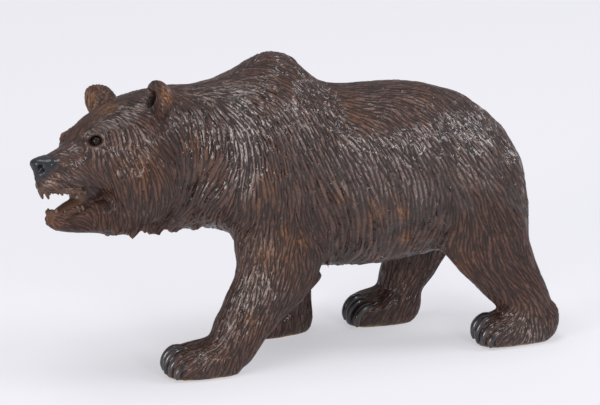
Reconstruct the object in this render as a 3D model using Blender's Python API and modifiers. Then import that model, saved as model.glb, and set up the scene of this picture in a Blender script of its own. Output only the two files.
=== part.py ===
"""A carved wooden bear, walking with its mouth open, with glass eyes set in sockets.

Metres, +Z up. The bear looks along -X, its left side is towards -Y, and its soles are on Z = 0.
The figure is drawn in millimetres. UNIT turns those into metres, so the pose, the proportions and
the carving are shares of LENGTH. The eyes have their own size, with clearance in their sockets.
"""

import math

import bmesh
import bpy
import numpy as np
from mathutils import Matrix, Vector, kdtree
from mathutils.bvhtree import BVHTree

# Driving dimensions, in metres
LENGTH = 0.380
EYE_DIAMETER = 0.0058
EYE_CLEARANCE = 0.0003

# Length of the figure as drawn, in drawn millimetres
DRAWN_LENGTH = 381.0
UNIT = LENGTH / DRAWN_LENGTH

# The carver's steps, in drawn millimetres
ROUGH_GRAIN = 2.4
FINE_GRAIN = 1.25
ROUGH_ROUNDS = 9
FINE_ROUNDS = 2
BODY_FACES = 5500
SEED = 11

# The head's place: the point between the ears, and how the head is turned, bowed and tilted
HEAD_AT = (-125.0, -12.0, 184.4)
HEAD_TURN = 22.5
HEAD_BOW = 12.0
HEAD_TILT = 13.0

# Where each paw stands: the middle of its sole, its length, how far the paw turns in, and how far
# its row of claws then turns out
PAW_SPREAD = 34.7
PAWS = {
    "left_front": {"x": -80.0, "side": -1, "length": 52.0, "turn_in": 4.0, "claws_out": 16.0, "hind": False},
    "right_front": {"x": -7.5, "side": 1, "length": 52.0, "turn_in": 4.0, "claws_out": 0.0, "hind": False},
    "left_hind": {"x": 145.5, "side": -1, "length": 56.0, "turn_in": -2.0, "claws_out": 16.0, "hind": True},
    "right_hind": {"x": 72.0, "side": 1, "length": 50.0, "turn_in": -2.0, "claws_out": 0.0, "hind": True},
}

# Torso sections from the nape to the tail: x, y, widest level, half width, top, bottom
TORSO = [
    (-118, -10, 143, 34, 186, 104),
    (-100, -7, 144, 37, 195, 100),
    (-75, -3, 143, 41, 195, 98),
    (-54, 0, 139, 44, 197.5, 90),
    (-36, 0, 135, 47, 205.5, 80),
    (-20, 0, 131, 48, 212, 70),
    (-6, 0, 127, 48, 208, 64),
    (6, 0, 123, 47, 195, 61),
    (22, 0, 120, 47, 185, 58.5),
    (45, 0, 118, 48, 183, 57.5),
    (72, 0, 117, 48.5, 182, 59),
    (95, 0, 116, 46.5, 177.5, 63),
    (115, 0, 114, 42.5, 170, 68),
    (131, 0, 112, 36.5, 158.5, 73),
    (145, 0, 110, 29, 144, 80),
    (154, 0, 107, 20, 128, 89),
    (160, 0, 105, 8, 116, 99),
]
# Rounded masses on the torso: centre with y outwards, and half lengths
SHOULDER = ((-30, 34, 124), (30, 15, 44))
HIP = ((104, 31, 114), (34, 16, 42))
CHEST = ((-88, -6, 139), (34, 36, 42))
TAIL = ((155, 0, 97), (6.5, 7, 14))

# Leg sections from the shoulder or hip down: x, share of PAW_SPREAD, z, half length, half width
LEGS = {
    "left_front": [
        (-14, 0.69, 124, 36, 20),
        (-22, 0.78, 91, 34, 21),
        (-28.6, 0.86, 66, 29.5, 19.5),
        (-38.8, 0.95, 52, 23.2, 17.5),
        (-49.6, 1, 37, 19.6, 16),
        (-58, 1, 23, 18, 15.5),
        (-64, 1, 8, 15, 15),
    ],
    "right_front": [
        (-18, 0.69, 124, 36, 20),
        (-14, 0.78, 92, 32, 20.5),
        (-8, 0.89, 67, 26, 19),
        (-2, 0.95, 46, 20.5, 17),
        (1.5, 1, 29, 18, 16),
        (3, 1, 16, 16.5, 15.5),
        (3.5, 1, 5, 16, 15),
    ],
    "left_hind": [
        (111, 0.58, 120, 41, 23),
        (120, 0.72, 91, 37, 22),
        (129, 0.86, 66, 28, 19.5),
        (140, 0.95, 46, 21.5, 16.5),
        (149, 1, 32, 18.3, 15.5),
        (154, 1, 18, 16.5, 15),
        (155, 1, 8, 14, 14),
    ],
    "right_hind": [
        (108, 0.58, 120, 38, 23),
        (104, 0.72, 91, 34, 22),
        (97, 0.86, 63, 26, 19),
        (91, 0.95, 41, 19.5, 16.5),
        (85, 1, 28, 16, 15.5),
        (82, 1, 16, 13.5, 15),
        (80, 1, 6, 12, 14.5),
    ],
}

# Paw sections from heel to toe: share of the paw's length, level, half width, up, down
FRONT_PAW = [
    (0.00, 12, 8, 7, 8),
    (0.09, 11, 14, 11.5, 12.5),
    (0.30, 10, 17.5, 14, 13),
    (0.58, 9.5, 18.8, 13, 13),
    (0.82, 9, 17.8, 10.8, 12),
    (0.95, 8, 13.5, 8.2, 10),
    (1.01, 7, 7, 4, 7),
]
HIND_PAW = [
    (0.00, 15, 8, 8, 7),
    (0.08, 13.5, 13.5, 13, 12.5),
    (0.24, 12, 16.6, 16, 15),
    (0.50, 10, 17.8, 14, 13),
    (0.80, 9.5, 18, 10.8, 12),
    (0.94, 8.5, 14.5, 8.5, 10),
    (1.01, 7.5, 8, 5, 8),
]

# Claws: how many on a paw, the angle between neighbours, how far behind the paw's front they fan out
# from, and their path in that fan: reach, level and half width
CLAWS = 5
CLAW_ANGLE = 20.0
CLAW_PIVOT = 18.0
CLAW_PATH = [
    (9.0, 18.2, 1.3),
    (14.2, 16.6, 2.3),
    (17.8, 11.8, 2.2),
    (19.2, 6.0, 1.8),
    (19.0, 0.4, 1.0),
]
# Toe behind each claw, in the same fan: centre and half lengths
TOE = ((6.5, 0, 12.6), (9.0, 3.5, 8.6))

# Skull and upper jaw, in the head's frame: forward, top, bottom, half width
SKULL = [
    (-46, 1.5, -66, 31),
    (-14, 10.5, -70, 37),
    (8, 12.2, -66, 37.5),
    (26, 11.2, -60, 34),
    (38, 9.0, -50, 28),
    (48, 5.2, -41, 22),
    (57, 1.4, -34.5, 16.4),
    (67, 0.6, -29.5, 12.8),
    (76, 1.0, -25.8, 10.4),
    (83, 0.2, -22.5, 8.2),
    (87, -3.0, -20.0, 5.4),
]
# Lower jaw, the same way
JAW = [
    (26, -34, -77, 29),
    (44, -43, -71.5, 20),
    (56, -43, -65, 15.2),
    (68, -42, -59.5, 11.8),
    (79, -40, -54.5, 9.8),
    (87, -38, -50, 8.2),
    (91.5, -38, -45.5, 5.0),
]
# Rounded forms of the head: centre with y outwards, half lengths, tip about the sideways axis.
# Those off the middle come in pairs
HEAD_MASSES = [
    ((0, 0, -27), (37, 36, 34), 0),
    ((20, 21, -38), (28, 18, 31), 0),
]
NOSE_PAD = ((83.8, 0, -3.6), (6.8, 7.6, 6.6), 14)
NOSE_WING = ((80.0, 6.6, -4.6), (5.6, 4.0, 5.2), 20)
NOSTRIL = ((88.0, 4.0, -5.4), (5.2, 1.9, 2.3), 20)
UPPER_LIP = ((77, 5.4, -16.6), (11.5, 6.0, 7.2), 16)
TONGUE = ((66, 0, -43), (17, 6.6, 4.6), -4)
EYE_BED = ((44, 13.2, -5), (12, 6.6, 8), 0)
BROW = ((41, 14.5, 2.4), (9.0, 5.0, 3.2), 8)
MUZZLE_FROM = 34.0
EYE_AT = (46.8, 18.5, -0.4)
EYE_OUTWARD = (0.52, 0.84, 0.14)

# Ears: middle in the head's frame, then how far each is turned outwards, leans back and splays
EARS = [
    {"at": (-2.5, 31, 8.8), "side": 1, "turn": -12.0, "lean": 18.0, "splay": 10.0},
    {"at": (3.0, -31.5, 6.5), "side": -1, "turn": 0.0, "lean": 4.0, "splay": 20.0},
]
EAR_DEPTH = 9.0
EAR_WIDTH = 13.2
EAR_HEIGHT = 13.8

# Teeth in the head's frame: forward, outward, root, tip, half width. Tips point down above, up below
UPPER_TEETH = [
    (81.0, 5.6, -18.0, -30.0, 2.1),
    (84.6, 3.6, -17.0, -25.4, 1.5),
    (85.6, 1.3, -17.0, -25.2, 1.4),
    (75.6, 6.0, -19.0, -27.0, 1.8),
    (71.0, 6.8, -21.0, -28.8, 2.0),
    (66.0, 8.0, -25.0, -31.2, 2.2),
]
LOWER_TEETH = [
    (85.4, 5.6, -44.0, -34.0, 1.9),
    (88.8, 3.4, -42.0, -36.2, 1.4),
    (89.8, 1.2, -42.0, -36.2, 1.3),
    (79.6, 7.4, -44.0, -38.4, 1.7),
    (74.5, 8.4, -45.0, -39.6, 1.9),
    (69.0, 9.6, -45.5, -40.6, 2.1),
]

# How the fur lies, on the left side of the body: x, y outwards, z, three parts of its direction,
# then the height, half width and half length of its locks. The right side mirrors it
BODY_FUR = [
    (-100, 10, 190, 1, 0.2, 0, 1, 6, 14),
    (-60, 10, 198, 1, 0.3, 0.2, 1.3, 6.5, 16),
    (-22, 8, 212, 1, 0.5, -0.2, 1.7, 6.5, 16),
    (20, 12, 184, 1, 0.3, 0, 0.9, 6.5, 16),
    (80, 12, 180, 1, 0.3, -0.1, 0.9, 6.5, 16),
    (125, 12, 162, 1, 0.3, -0.7, 1.2, 6.5, 14),
    (155, 5, 120, 0.3, 0.2, -1, 1.3, 6.5, 14),
    (-55, 42, 155, 0.7, 0.1, -0.7, 1.4, 6.5, 17),
    (-30, 42, 178, 0.7, 0.4, -0.6, 1.3, 6.5, 17),
    (-30, 50, 122, 0.35, 0, -1, 1.3, 6.5, 18),
    (-52, 46, 112, 0.1, 0, -1, 1.9, 6.5, 20),
    (10, 47, 155, 0.9, 0.2, -0.5, 0.9, 6.5, 17),
    (10, 48, 118, 0.6, 0, -0.8, 1.2, 6.5, 18),
    (12, 44, 82, 0.2, -0.2, -1, 1.9, 6, 18),
    (50, 47, 155, 0.9, 0.2, -0.45, 0.9, 6.5, 17),
    (50, 49, 118, 0.6, 0, -0.8, 1.2, 6.5, 18),
    (50, 44, 78, 0.1, -0.3, -1, 2, 6, 18),
    (50, 18, 58, -0.5, -0.6, -0.3, 1.7, 6, 16),
    (95, 47, 155, 0.9, 0.2, -0.5, 1, 6.5, 14),
    (100, 49, 118, 0.6, 0, -0.8, 1.2, 6.5, 16),
    (100, 46, 88, 0.3, 0, -1, 1.4, 6.5, 17),
    (126, 40, 125, 0.7, 0, -0.8, 1.4, 6.5, 13),
    (137, 36, 95, 0.4, 0, -0.95, 1.3, 6.5, 14),
    (-96, 32, 170, 0.5, 0.5, -0.8, 1.9, 6, 21),
    (-82, 38, 150, 0.25, 0.1, -1, 2.5, 6, 23),
    (-92, 37, 128, -0.15, -0.1, -1, 2.6, 6, 23),
    (-72, 40, 112, 0, -0.2, -1, 2.3, 6, 22),
    (-90, 20, 103, -0.3, -0.6, -0.6, 2.2, 6, 17),
    (-62, 12, 94, 0.3, -0.3, -0.8, 2.3, 6, 17),
]
# The same in the head's frame: forward, outward, up
HEAD_FUR = [
    (72, 10, -14, -1, 0.2, -0.2, 0, 4, 8),
    (66, 0, 1, -1, 0, 0, 0, 4, 8),
    (80, 5, -25, -1, 0.2, 0, 0, 4, 8),
    (80, 6, -48, -1, 0.2, -0.1, 0, 4, 8),
    (44, 8, 8, -1, 0.2, 0.2, 0.3, 4.5, 10),
    (20, 12, 12, -1, 0.2, 0, 0.6, 5, 12),
    (-10, 12, 12, -1, 0.1, 0, 0.7, 5, 13),
    (44, 22, -16, -1, 0.4, -0.5, 0.4, 4.5, 10),
    (16, 35, -10, -0.8, 0.1, -0.6, 1.2, 5, 14),
    (12, 38, -34, -0.35, 0, -0.9, 1.4, 5, 16),
    (-8, 37, -48, -0.1, -0.1, -1, 2.2, 6, 20),
    (38, 26, -50, -0.8, 0.1, -0.6, 1, 5, 13),
    (18, 32, -62, -0.4, -0.2, -0.9, 1.6, 5, 14),
    (48, 6, -72, -0.9, 0, -0.3, 1, 5, 12),
    (10, 12, -76, -0.6, -0.2, -0.6, 1.9, 5, 14),
]
# How much all locks are raised, and how high, wide and long those of the legs and paws are
LOCK_RELIEF = 1.2
LEG_LOCKS = (1.1, 5.5, 14)
PAW_LOCKS = (0.15, 4, 8)

# Rows of hanging tufts, in drawn millimetres: from, to, sideways reach, how many, length, half width
TUFTS = [
    ((-146, -22, 110), (-108, -14, 103), 13, 8, 8, 4.2),
    ((-106, -11, 104), (-66, -4, 98), 17, 9, 5, 4.0),
    ((-6, -30, 66), (6, -24, 62), 8, 4, 8, 3.6),
    ((-4, 30, 66), (8, 24, 62), 8, 4, 6, 3.6),
]


def spline(keys, count):
    """Rows evenly spread along a smooth curve through the key rows."""
    keys = np.array(keys, float)
    padded = np.vstack([2 * keys[0] - keys[1], keys, 2 * keys[-1] - keys[-2]])
    rows = []
    for t in np.linspace(0, len(keys) - 1, count):
        i = min(int(t), len(keys) - 2)
        f = t - i
        a, b, c, d = padded[i:i + 4]
        second = 2 * a - 5 * b + 4 * c - d
        third = 3 * b - a - 3 * c + d
        rows.append(0.5 * (2 * b + (c - a) * f + second * f * f + third * f ** 3))
    return np.array(rows)


def rounded_ring(half_width, up, down, sides, fullness):
    """Points (across, up) of a rounded section, fuller than an ellipse where fullness is over 2."""
    ring = []
    for i in range(sides):
        turn = 2 * math.pi * i / sides
        c, s = math.cos(turn), math.sin(turn)
        across = math.copysign(abs(c) ** (2 / fullness), c) * half_width
        height = math.copysign(abs(s) ** (2 / fullness), s) * (up if s > 0 else down)
        ring.append((across, height))
    return ring


def add_loft(stock, rings, pointed=False):
    """A closed tube through rings of points, with a fan of faces over each end."""
    rows = [[stock.verts.new(p) for p in ring] for ring in rings]
    sides = len(rows[0])
    made = []
    for near, far in zip(rows, rows[1:]):
        for i in range(sides):
            j = (i + 1) % sides
            made.append(stock.faces.new((near[i], near[j], far[j], far[i])))
    for row in (rows[0], rows[-1]):
        if pointed:
            made.append(stock.faces.new(row))
            continue
        middle = stock.verts.new(sum((v.co for v in row), Vector()) / sides)
        for i in range(sides):
            made.append(stock.faces.new((row[i], row[(i + 1) % sides], middle)))
    bmesh.ops.recalc_face_normals(stock, faces=made)


def add_upright_loft(stock, sections, place, sides=28, fullness=2.25):
    """A loft with sections square to the frame's first axis: along, across, level, half width, up, down."""
    rings = []
    for along, across, level, half_width, up, down in sections:
        ring = rounded_ring(half_width, up, down, sides, fullness)
        rings.append([place @ Vector((along, across + y, level + z)) for y, z in ring])
    add_loft(stock, rings)


def add_limb(stock, keys, count=18, sides=24):
    """A leg: its sections stay level from side to side and square to its path seen from the side."""
    rows = spline(keys, count)
    slopes = np.gradient(rows[:, :3], axis=0)
    rings = []
    for (x, y, z, half_length, half_width), slope in zip(rows, slopes):
        along = Vector((slope[0], 0, slope[2])).normalized()
        fore = along.cross(Vector((0, 1, 0)))
        ring = rounded_ring(half_width, half_length, half_length, sides, 2.1)
        middle = Vector((x, y, z))
        rings.append([middle + Vector((0, 1, 0)) * across + fore * f for across, f in ring])
    add_loft(stock, rings)


def add_ball(stock, place, centre, radii, turn=0, segments=20):
    """An ellipsoid, turned about the frame's sideways axis by so many degrees."""
    tip = Matrix.Rotation(math.radians(turn), 4, "Y")
    matrix = place @ Matrix.Translation(centre) @ tip @ Matrix.Diagonal((*radii, 1))
    bmesh.ops.create_uvsphere(stock, u_segments=segments, v_segments=segments // 2 + 2, radius=1, matrix=matrix)


def add_form(stock, place, form, segments=20):
    """A rounded form, once in the middle or once on each side."""
    (x, y, z), radii, turn = form
    for side in (-1, 1) if y else (1,):
        add_ball(stock, place, (x, side * y, z), radii, turn, segments)


def head_frame():
    """The head's axes, forward, left and up, at the point between the ears."""
    turn, bow, tilt = (math.radians(a) for a in (HEAD_TURN, HEAD_BOW, HEAD_TILT))
    level = Matrix.Rotation(math.pi + turn, 4, "Z")
    return Matrix.Translation(HEAD_AT) @ level @ Matrix.Rotation(bow, 4, "Y") @ Matrix.Rotation(tilt, 4, "X")


def paw_frame(paw):
    """A paw's axes, forward, left and up, at the middle of its sole."""
    heading = math.pi + paw["side"] * math.radians(paw["turn_in"])
    return Matrix.Translation((paw["x"], paw["side"] * PAW_SPREAD, 0)) @ Matrix.Rotation(heading, 4, "Z")


def claw_frames(paw):
    """The frame of each claw and its toe: at their pivot on the sole, heading out along the claw."""
    pivot = paw_frame(paw) @ Matrix.Translation((0.5 * paw["length"] - CLAW_PIVOT, 0, 0))
    for i in range(CLAWS):
        angle = (i - (CLAWS - 1) / 2) * CLAW_ANGLE - paw["side"] * paw["claws_out"]
        yield pivot @ Matrix.Rotation(math.radians(angle), 4, "Z")


def add_paw(stock, paw):
    """A paw from heel to front, with a toe behind each claw."""
    rows = spline(HIND_PAW if paw["hind"] else FRONT_PAW, 14)
    length = paw["length"]
    sections = [((share - 0.5) * length, 0, level, wide, up, down) for share, level, wide, up, down in rows]
    add_upright_loft(stock, sections, paw_frame(paw), sides=24, fullness=2.3)
    for frame in claw_frames(paw):
        add_ball(stock, frame, *TOE, 12, 16)


def add_claws(stock, paw, sides=6):
    """A hooked claw over the front of each toe, from the top of the paw down to the ground."""
    path = np.array(CLAW_PATH)
    ways = np.gradient(path[:, :2], axis=0)
    for frame in claw_frames(paw):
        rings = []
        for (reach, level, half), (forward, up) in zip(path, ways):
            out = Vector((-up, 0, forward)).normalized()
            ring = rounded_ring(half, half, half, sides, 2)
            rings.append([frame @ (Vector((reach, across, level)) + out * h) for across, h in ring])
        add_loft(stock, rings, pointed=True)


def add_tooth(stock, forward, outward, root, tip, half):
    """A pointed tooth, square in section."""
    place = head_frame()
    rings = []
    for t in (0, 0.65, 1):
        size = half * (1 - 0.72 * t ** 1.8)
        level = root + (tip - root) * t
        ring = rounded_ring(size, size, size, 4, 2)
        rings.append([place @ Vector((forward + a, outward + b, level)) for a, b in ring])
    add_loft(stock, rings, pointed=True)


def head_sections(keys, count, start):
    """Sections along the head from the start on, the first one drawn in where it starts midway."""
    rows = [row for row in spline(keys, count) if row[0] >= start]
    sections = []
    for i, (forward, top, bottom, wide) in enumerate(rows):
        size = 0.93 if i == 0 and start > keys[0][0] else 1.0
        half = 0.5 * (top - bottom) * size
        sections.append((forward, 0, 0.5 * (top + bottom), wide * size, half, half))
    return sections


def add_head_mass(stock):
    """The blended masses of the head: skull, cheeks and jaw."""
    place = head_frame()
    add_upright_loft(stock, head_sections(SKULL, 26, -100), place, fullness=2.3)
    add_upright_loft(stock, head_sections(JAW, 16, -100), place, fullness=2.3)
    for form in HEAD_MASSES:
        add_form(stock, place, form)


def add_muzzle(stock):
    """The crisper forms of the face: muzzle, lips, jaw, nose pad, brows, lids and tongue."""
    place = head_frame()
    add_upright_loft(stock, head_sections(SKULL, 40, MUZZLE_FROM), place, fullness=2.35)
    add_upright_loft(stock, head_sections(JAW, 24, MUZZLE_FROM), place, fullness=2.35)
    for form in (NOSE_PAD, NOSE_WING, UPPER_LIP, TONGUE, EYE_BED, BROW):
        add_form(stock, place, form)
    for side in (-1, 1):
        add_lids(stock, side)


def eye_frame(side):
    """An eye's axes at its middle, the first one looking out."""
    outward = Vector((EYE_OUTWARD[0], side * EYE_OUTWARD[1], EYE_OUTWARD[2])).normalized()
    across = Vector((0, 0, 1)).cross(outward).normalized()
    turn = Matrix((outward, across, outward.cross(across))).transposed().to_4x4()
    return head_frame() @ Matrix.Translation((EYE_AT[0], side * EYE_AT[1], EYE_AT[2])) @ turn


def add_lids(stock, side, steps=18, sides=8):
    """A raised rim round the eye, drawn out towards the nose."""
    frame = eye_frame(side)
    rows = []
    for i in range(steps):
        turn = 2 * math.pi * i / steps
        c, s = math.cos(turn), math.sin(turn)
        row = []
        for across, out in rounded_ring(1.35, 1.25, 1.25, sides, 2):
            row.append(stock.verts.new(frame @ Vector((0.9 + out, c * (4.4 + across), s * (3.3 + across)))))
        rows.append(row)
    made = []
    for near, far in zip(rows, rows[1:] + rows[:1]):
        for i in range(sides):
            j = (i + 1) % sides
            made.append(stock.faces.new((near[i], near[j], far[j], far[i])))
    bmesh.ops.recalc_face_normals(stock, faces=made)


def add_ear(stock, ear):
    """A cupped ear with a thick rim, hollow towards the front."""
    place = head_frame() @ Matrix.Translation(ear["at"])
    place = place @ Matrix.Rotation(math.radians(-ear["side"] * ear["splay"]), 4, "X")
    place = place @ Matrix.Rotation(math.radians(ear["side"] * ear["turn"]), 4, "Z")
    place = place @ Matrix.Rotation(math.radians(-ear["lean"]), 4, "Y")
    shell = bmesh.new()
    bmesh.ops.create_uvsphere(shell, u_segments=28, v_segments=20, radius=1)
    for v in shell.verts:
        reach = min(1.0, math.hypot(v.co.y, v.co.z))
        hollow = 9.2 * max(0.0, 1 - (reach / 0.78) ** 2) if v.co.x > 0 else 0
        depth = v.co.x * (3.8 if v.co.x > 0 else EAR_DEPTH) - hollow
        v.co = Vector((depth, v.co.y * EAR_WIDTH, v.co.z * EAR_HEIGHT))
    shell.transform(place)
    mesh = bpy.data.meshes.new("ear")
    shell.to_mesh(mesh)
    shell.free()
    stock.from_mesh(mesh)
    bpy.data.meshes.remove(mesh)


def add_tufts(stock, skin, generator):
    """Rows of pointed tufts hanging from the skin under the jaw, the chest and the elbows."""
    for start, end, reach, count, length, half in TUFTS:
        for i in range(count):
            share = (i + 0.5 + generator.uniform(-0.25, 0.25)) / count
            side = generator.uniform(-1, 1) * reach
            root = Vector(start).lerp(Vector(end), share) + Vector((0, side, 0))
            point, normal = skin.find_nearest(root)[:2]
            root = point - normal * 3
            drop = length * generator.uniform(0.7, 1.2) + 3
            lean = generator.uniform(-0.1, 0.35) * drop
            rings = []
            for t in (0, 0.5, 0.8, 1):
                size = half * (1 - 0.8 * t ** 1.5)
                middle = root + Vector((lean * t, 0, -drop * t))
                rings.append([middle + Vector((a, b, 0)) for a, b in rounded_ring(size, size, size, 8, 2)])
            add_loft(stock, rings)


def new_object(name, mesh, collection):
    """An object around the mesh, in the collection."""
    made = bpy.data.objects.new(name, mesh)
    collection.objects.link(made)
    return made


def mesh_of(stock, name):
    """The stock as a mesh. The stock goes."""
    mesh = bpy.data.meshes.new(name)
    stock.to_mesh(mesh)
    stock.free()
    return mesh


def applied(obj):
    """The object's mesh with its modifiers applied. The object goes."""
    graph = bpy.context.evaluated_depsgraph_get()
    mesh = bpy.data.meshes.new_from_object(obj.evaluated_get(graph))
    bpy.data.objects.remove(obj)
    return mesh


def fused(mesh, grain, rounds, collection):
    """Overlapping shells as one skin, its joints softened by some rounds of smoothing."""
    obj = new_object("fused", mesh, collection)
    remesh = obj.modifiers.new("one_skin", "REMESH")
    remesh.mode = "VOXEL"
    remesh.voxel_size = grain
    smooth = obj.modifiers.new("soften", "SMOOTH")
    smooth.factor = 0.5
    smooth.iterations = rounds
    return applied(obj)


def rough_out(collection):
    """The masses: torso, neck, head and legs, blended softly."""
    stock = bmesh.new()
    flat = Matrix.Identity(4)
    for name, keys in LEGS.items():
        side = PAWS[name]["side"]
        out = side * PAW_SPREAD
        add_limb(stock, [(x, share * out, z, long, wide) for x, share, z, long, wide in keys])
        (x, y, z), radii = HIP if PAWS[name]["hind"] else SHOULDER
        add_ball(stock, flat, (x, side * y, z), radii)
    add_ball(stock, flat, *CHEST)
    add_ball(stock, flat, *TAIL, -8)
    add_head_mass(stock)
    rows = spline(TORSO, 44)
    sections = [(x, y, level, wide, top - level, level - bottom) for x, y, level, wide, top, bottom in rows]
    add_upright_loft(stock, sections, flat, sides=40, fullness=2.2)
    return fused(mesh_of(stock, "rough"), ROUGH_GRAIN, ROUGH_ROUNDS, collection)


def carve_forms(rough, collection, generator):
    """Face, ears, paws and tufts cut in, with their edges kept crisper than the masses."""
    stock = bmesh.new()
    add_muzzle(stock)
    for ear in EARS:
        add_ear(stock, ear)
    for paw in PAWS.values():
        add_paw(stock, paw)
    skin = bmesh.new()
    skin.from_mesh(rough)
    add_tufts(stock, BVHTree.FromBMesh(skin), generator)
    skin.free()
    stock.from_mesh(rough)
    bpy.data.meshes.remove(rough)
    return fused(mesh_of(stock, "formed"), FINE_GRAIN, FINE_ROUNDS, collection)


def leg_guides():
    """Fur guides down each leg and forward over each paw."""
    guides = []
    for name, keys in LEGS.items():
        side = PAWS[name]["side"]
        rows = spline(keys, 9)
        slopes = np.gradient(rows[:, :3], axis=0)
        for (x, share, z, half_length, half_width), slope in list(zip(rows, slopes))[2:]:
            down = (slope[0], 0, slope[2])
            for fore, out in ((-0.9, 0.3), (0.9, 0.3), (0, 1)):
                point = (x + fore * half_length, side * (share * PAW_SPREAD + out * half_width), z)
                guides.append((*point, *down, *LEG_LOCKS))
        paw = PAWS[name]
        for share in (-0.3, 0, 0.3):
            for across in (-12, 12):
                point = paw_frame(paw) @ Vector((share * paw["length"], across, 18))
                guides.append((*point, -1, 0, -0.3, *PAW_LOCKS))
    return guides


def fur_guides():
    """Every guide of the fur, in the body's frame: place, direction and size of the locks."""
    guides = leg_guides()
    place = head_frame()
    for x, y, z, dx, dy, dz, high, wide, long in BODY_FUR:
        for side in (-1, 1):
            guides.append((x, side * y, z, dx, side * dy, dz, high, wide, long))
    for x, y, z, dx, dy, dz, high, wide, long in HEAD_FUR:
        for side in (-1, 1):
            point = place @ Vector((x, side * y, z))
            way = place.to_3x3() @ Vector((dx, side * dy, dz))
            guides.append((*point, *way, high, wide, long))
    return np.array(guides, float)


def fur_at(points, normals):
    """The lie of the fur on the surface and the locks' height, half width and half length there."""
    guides = fur_guides()
    guides[:, 3:6] /= np.linalg.norm(guides[:, 3:6], axis=1)[:, None]
    apart = ((points[:, None, :] - guides[None, :, :3]) ** 2).sum(2)
    weight = 1 / (apart + 60) ** 2
    weight /= weight.sum(1)[:, None]
    mixed = weight @ guides[:, 3:]
    lay = mixed[:, :3]
    lay -= normals * (lay * normals).sum(1)[:, None]
    lay /= np.maximum(np.linalg.norm(lay, axis=1), 1e-6)[:, None]
    return lay, mixed[:, 3], mixed[:, 4], mixed[:, 5]


def lock_seeds(points, lay, normals, sizes, generator):
    """Points spread so that the locks centred on them just overlap."""
    high, wide, long = sizes
    order = generator.permutation(len(points))[:9000]
    order = [i for i in order if high[i] > 0.12 and points[i, 2] > 6]
    kept = []
    for i in order:
        if kept:
            gap = points[i] - points[kept]
            along = gap @ lay[i]
            above = gap @ normals[i]
            across = gap @ np.cross(normals[i], lay[i])
            if np.min((along / long[i]) ** 2 + (across / wide[i]) ** 2 + (above / wide[i]) ** 2) < 1.3:
                continue
        kept.append(i)
    return kept


def carve_locks(mesh, generator):
    """Raises overlapping pointed locks along the lie of the fur, each one highest near its tip."""
    count = len(mesh.vertices)
    points = np.empty(count * 3)
    normals = np.empty(count * 3)
    mesh.vertices.foreach_get("co", points)
    mesh.vertex_normals.foreach_get("vector", normals)
    points, normals = points.reshape(-1, 3), normals.reshape(-1, 3)
    lay, high, wide, long = fur_at(points, normals)
    seeds = lock_seeds(points, lay, normals, (high, wide, long), generator)
    tree = kdtree.KDTree(len(seeds))
    for i, seed in enumerate(seeds):
        tree.insert(points[seed], i)
    tree.balance()
    near = np.array([[seeds[found[1]] for found in tree.find_n(point, 8)] for point in points])
    gap = points[:, None, :] - points[near]
    sideways = np.cross(normals[near], lay[near])
    along = (gap * lay[near]).sum(2) / long[near]
    across = (gap * sideways).sum(2) / wide[near]
    above = np.abs((gap * normals[near]).sum(2)) / (2.5 * wide[near])
    rise = np.clip(np.where(along < 0.45, (along + 1) / 1.45, (1 - along) / 0.55), 0, 1)
    across = across * (1 + 0.5 * np.clip(along, 0, 1))
    ridge = rise * np.clip(1 - across ** 2, 0, 1) * np.clip(1.5 - above, 0, 1)
    lift = (LOCK_RELIEF * high[near] * ridge).max(1) * np.clip((points[:, 2] - 4) / 10, 0, 1)
    moved = points + normals * (lift - 0.35 * LOCK_RELIEF * high)[:, None]
    mesh.vertices.foreach_set("co", moved.ravel())
    mesh.update()


def thinned(mesh, faces, collection):
    """The same form in fewer triangles, most of them where it bends most."""
    obj = new_object("thinned", mesh, collection)
    triangles = sum(len(p.vertices) - 2 for p in mesh.polygons)
    fewer = obj.modifiers.new("fewer", "DECIMATE")
    fewer.ratio = faces / triangles
    fewer.use_collapse_triangulate = True
    return applied(obj)


def joined(mesh, tool, operation, collection):
    """The mesh with the tool's closed shells joined to it or cut out of it."""
    obj = new_object("joined", mesh, collection)
    other = new_object("tool", tool, collection)
    other.hide_render = True
    other.display_type = "WIRE"
    cut = obj.modifiers.new("cut", "BOOLEAN")
    cut.operation = operation
    cut.solver = "EXACT"
    cut.object = other
    made = applied(obj)
    bpy.data.objects.remove(other)
    return made


def cut_soles(mesh):
    """Everything under the ground plane comes off, and the soles are flat."""
    body = bmesh.new()
    body.from_mesh(mesh)
    everything = body.verts[:] + body.edges[:] + body.faces[:]
    bmesh.ops.bisect_plane(
        body, geom=everything, dist=1e-4, plane_co=(0, 0, 0), plane_no=(0, 0, 1), clear_inner=True
    )
    rim = [e for e in body.edges if e.is_boundary]
    bmesh.ops.holes_fill(body, edges=rim)
    bmesh.ops.triangulate(body, faces=body.faces[:])
    body.to_mesh(mesh)
    body.free()
    return mesh


def claws_and_teeth():
    """The crisp small forms that are joined to the carved body."""
    stock = bmesh.new()
    for paw in PAWS.values():
        add_claws(stock, paw)
    for side in (-1, 1):
        for forward, outward, root, tip, half in UPPER_TEETH + LOWER_TEETH:
            add_tooth(stock, forward, side * outward, root, tip, half)
    return mesh_of(stock, "claws_and_teeth")


def eye_balls(radius, segments):
    """Both eyes as spheres of the given drawn radius."""
    for side, name in ((1, "eye_left"), (-1, "eye_right")):
        stock = bmesh.new()
        add_ball(stock, eye_frame(side), (0, 0, 0), (radius, radius, radius), 90, segments)
        yield name, mesh_of(stock, name)


def cutters():
    """The eye sockets and the nostrils."""
    stock = bmesh.new()
    radius = (EYE_DIAMETER / 2 + EYE_CLEARANCE) / UNIT
    for name, ball in eye_balls(radius, 16):
        stock.from_mesh(ball)
        bpy.data.meshes.remove(ball)
    add_form(stock, head_frame(), NOSTRIL, 10)
    return mesh_of(stock, "cutters")


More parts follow.
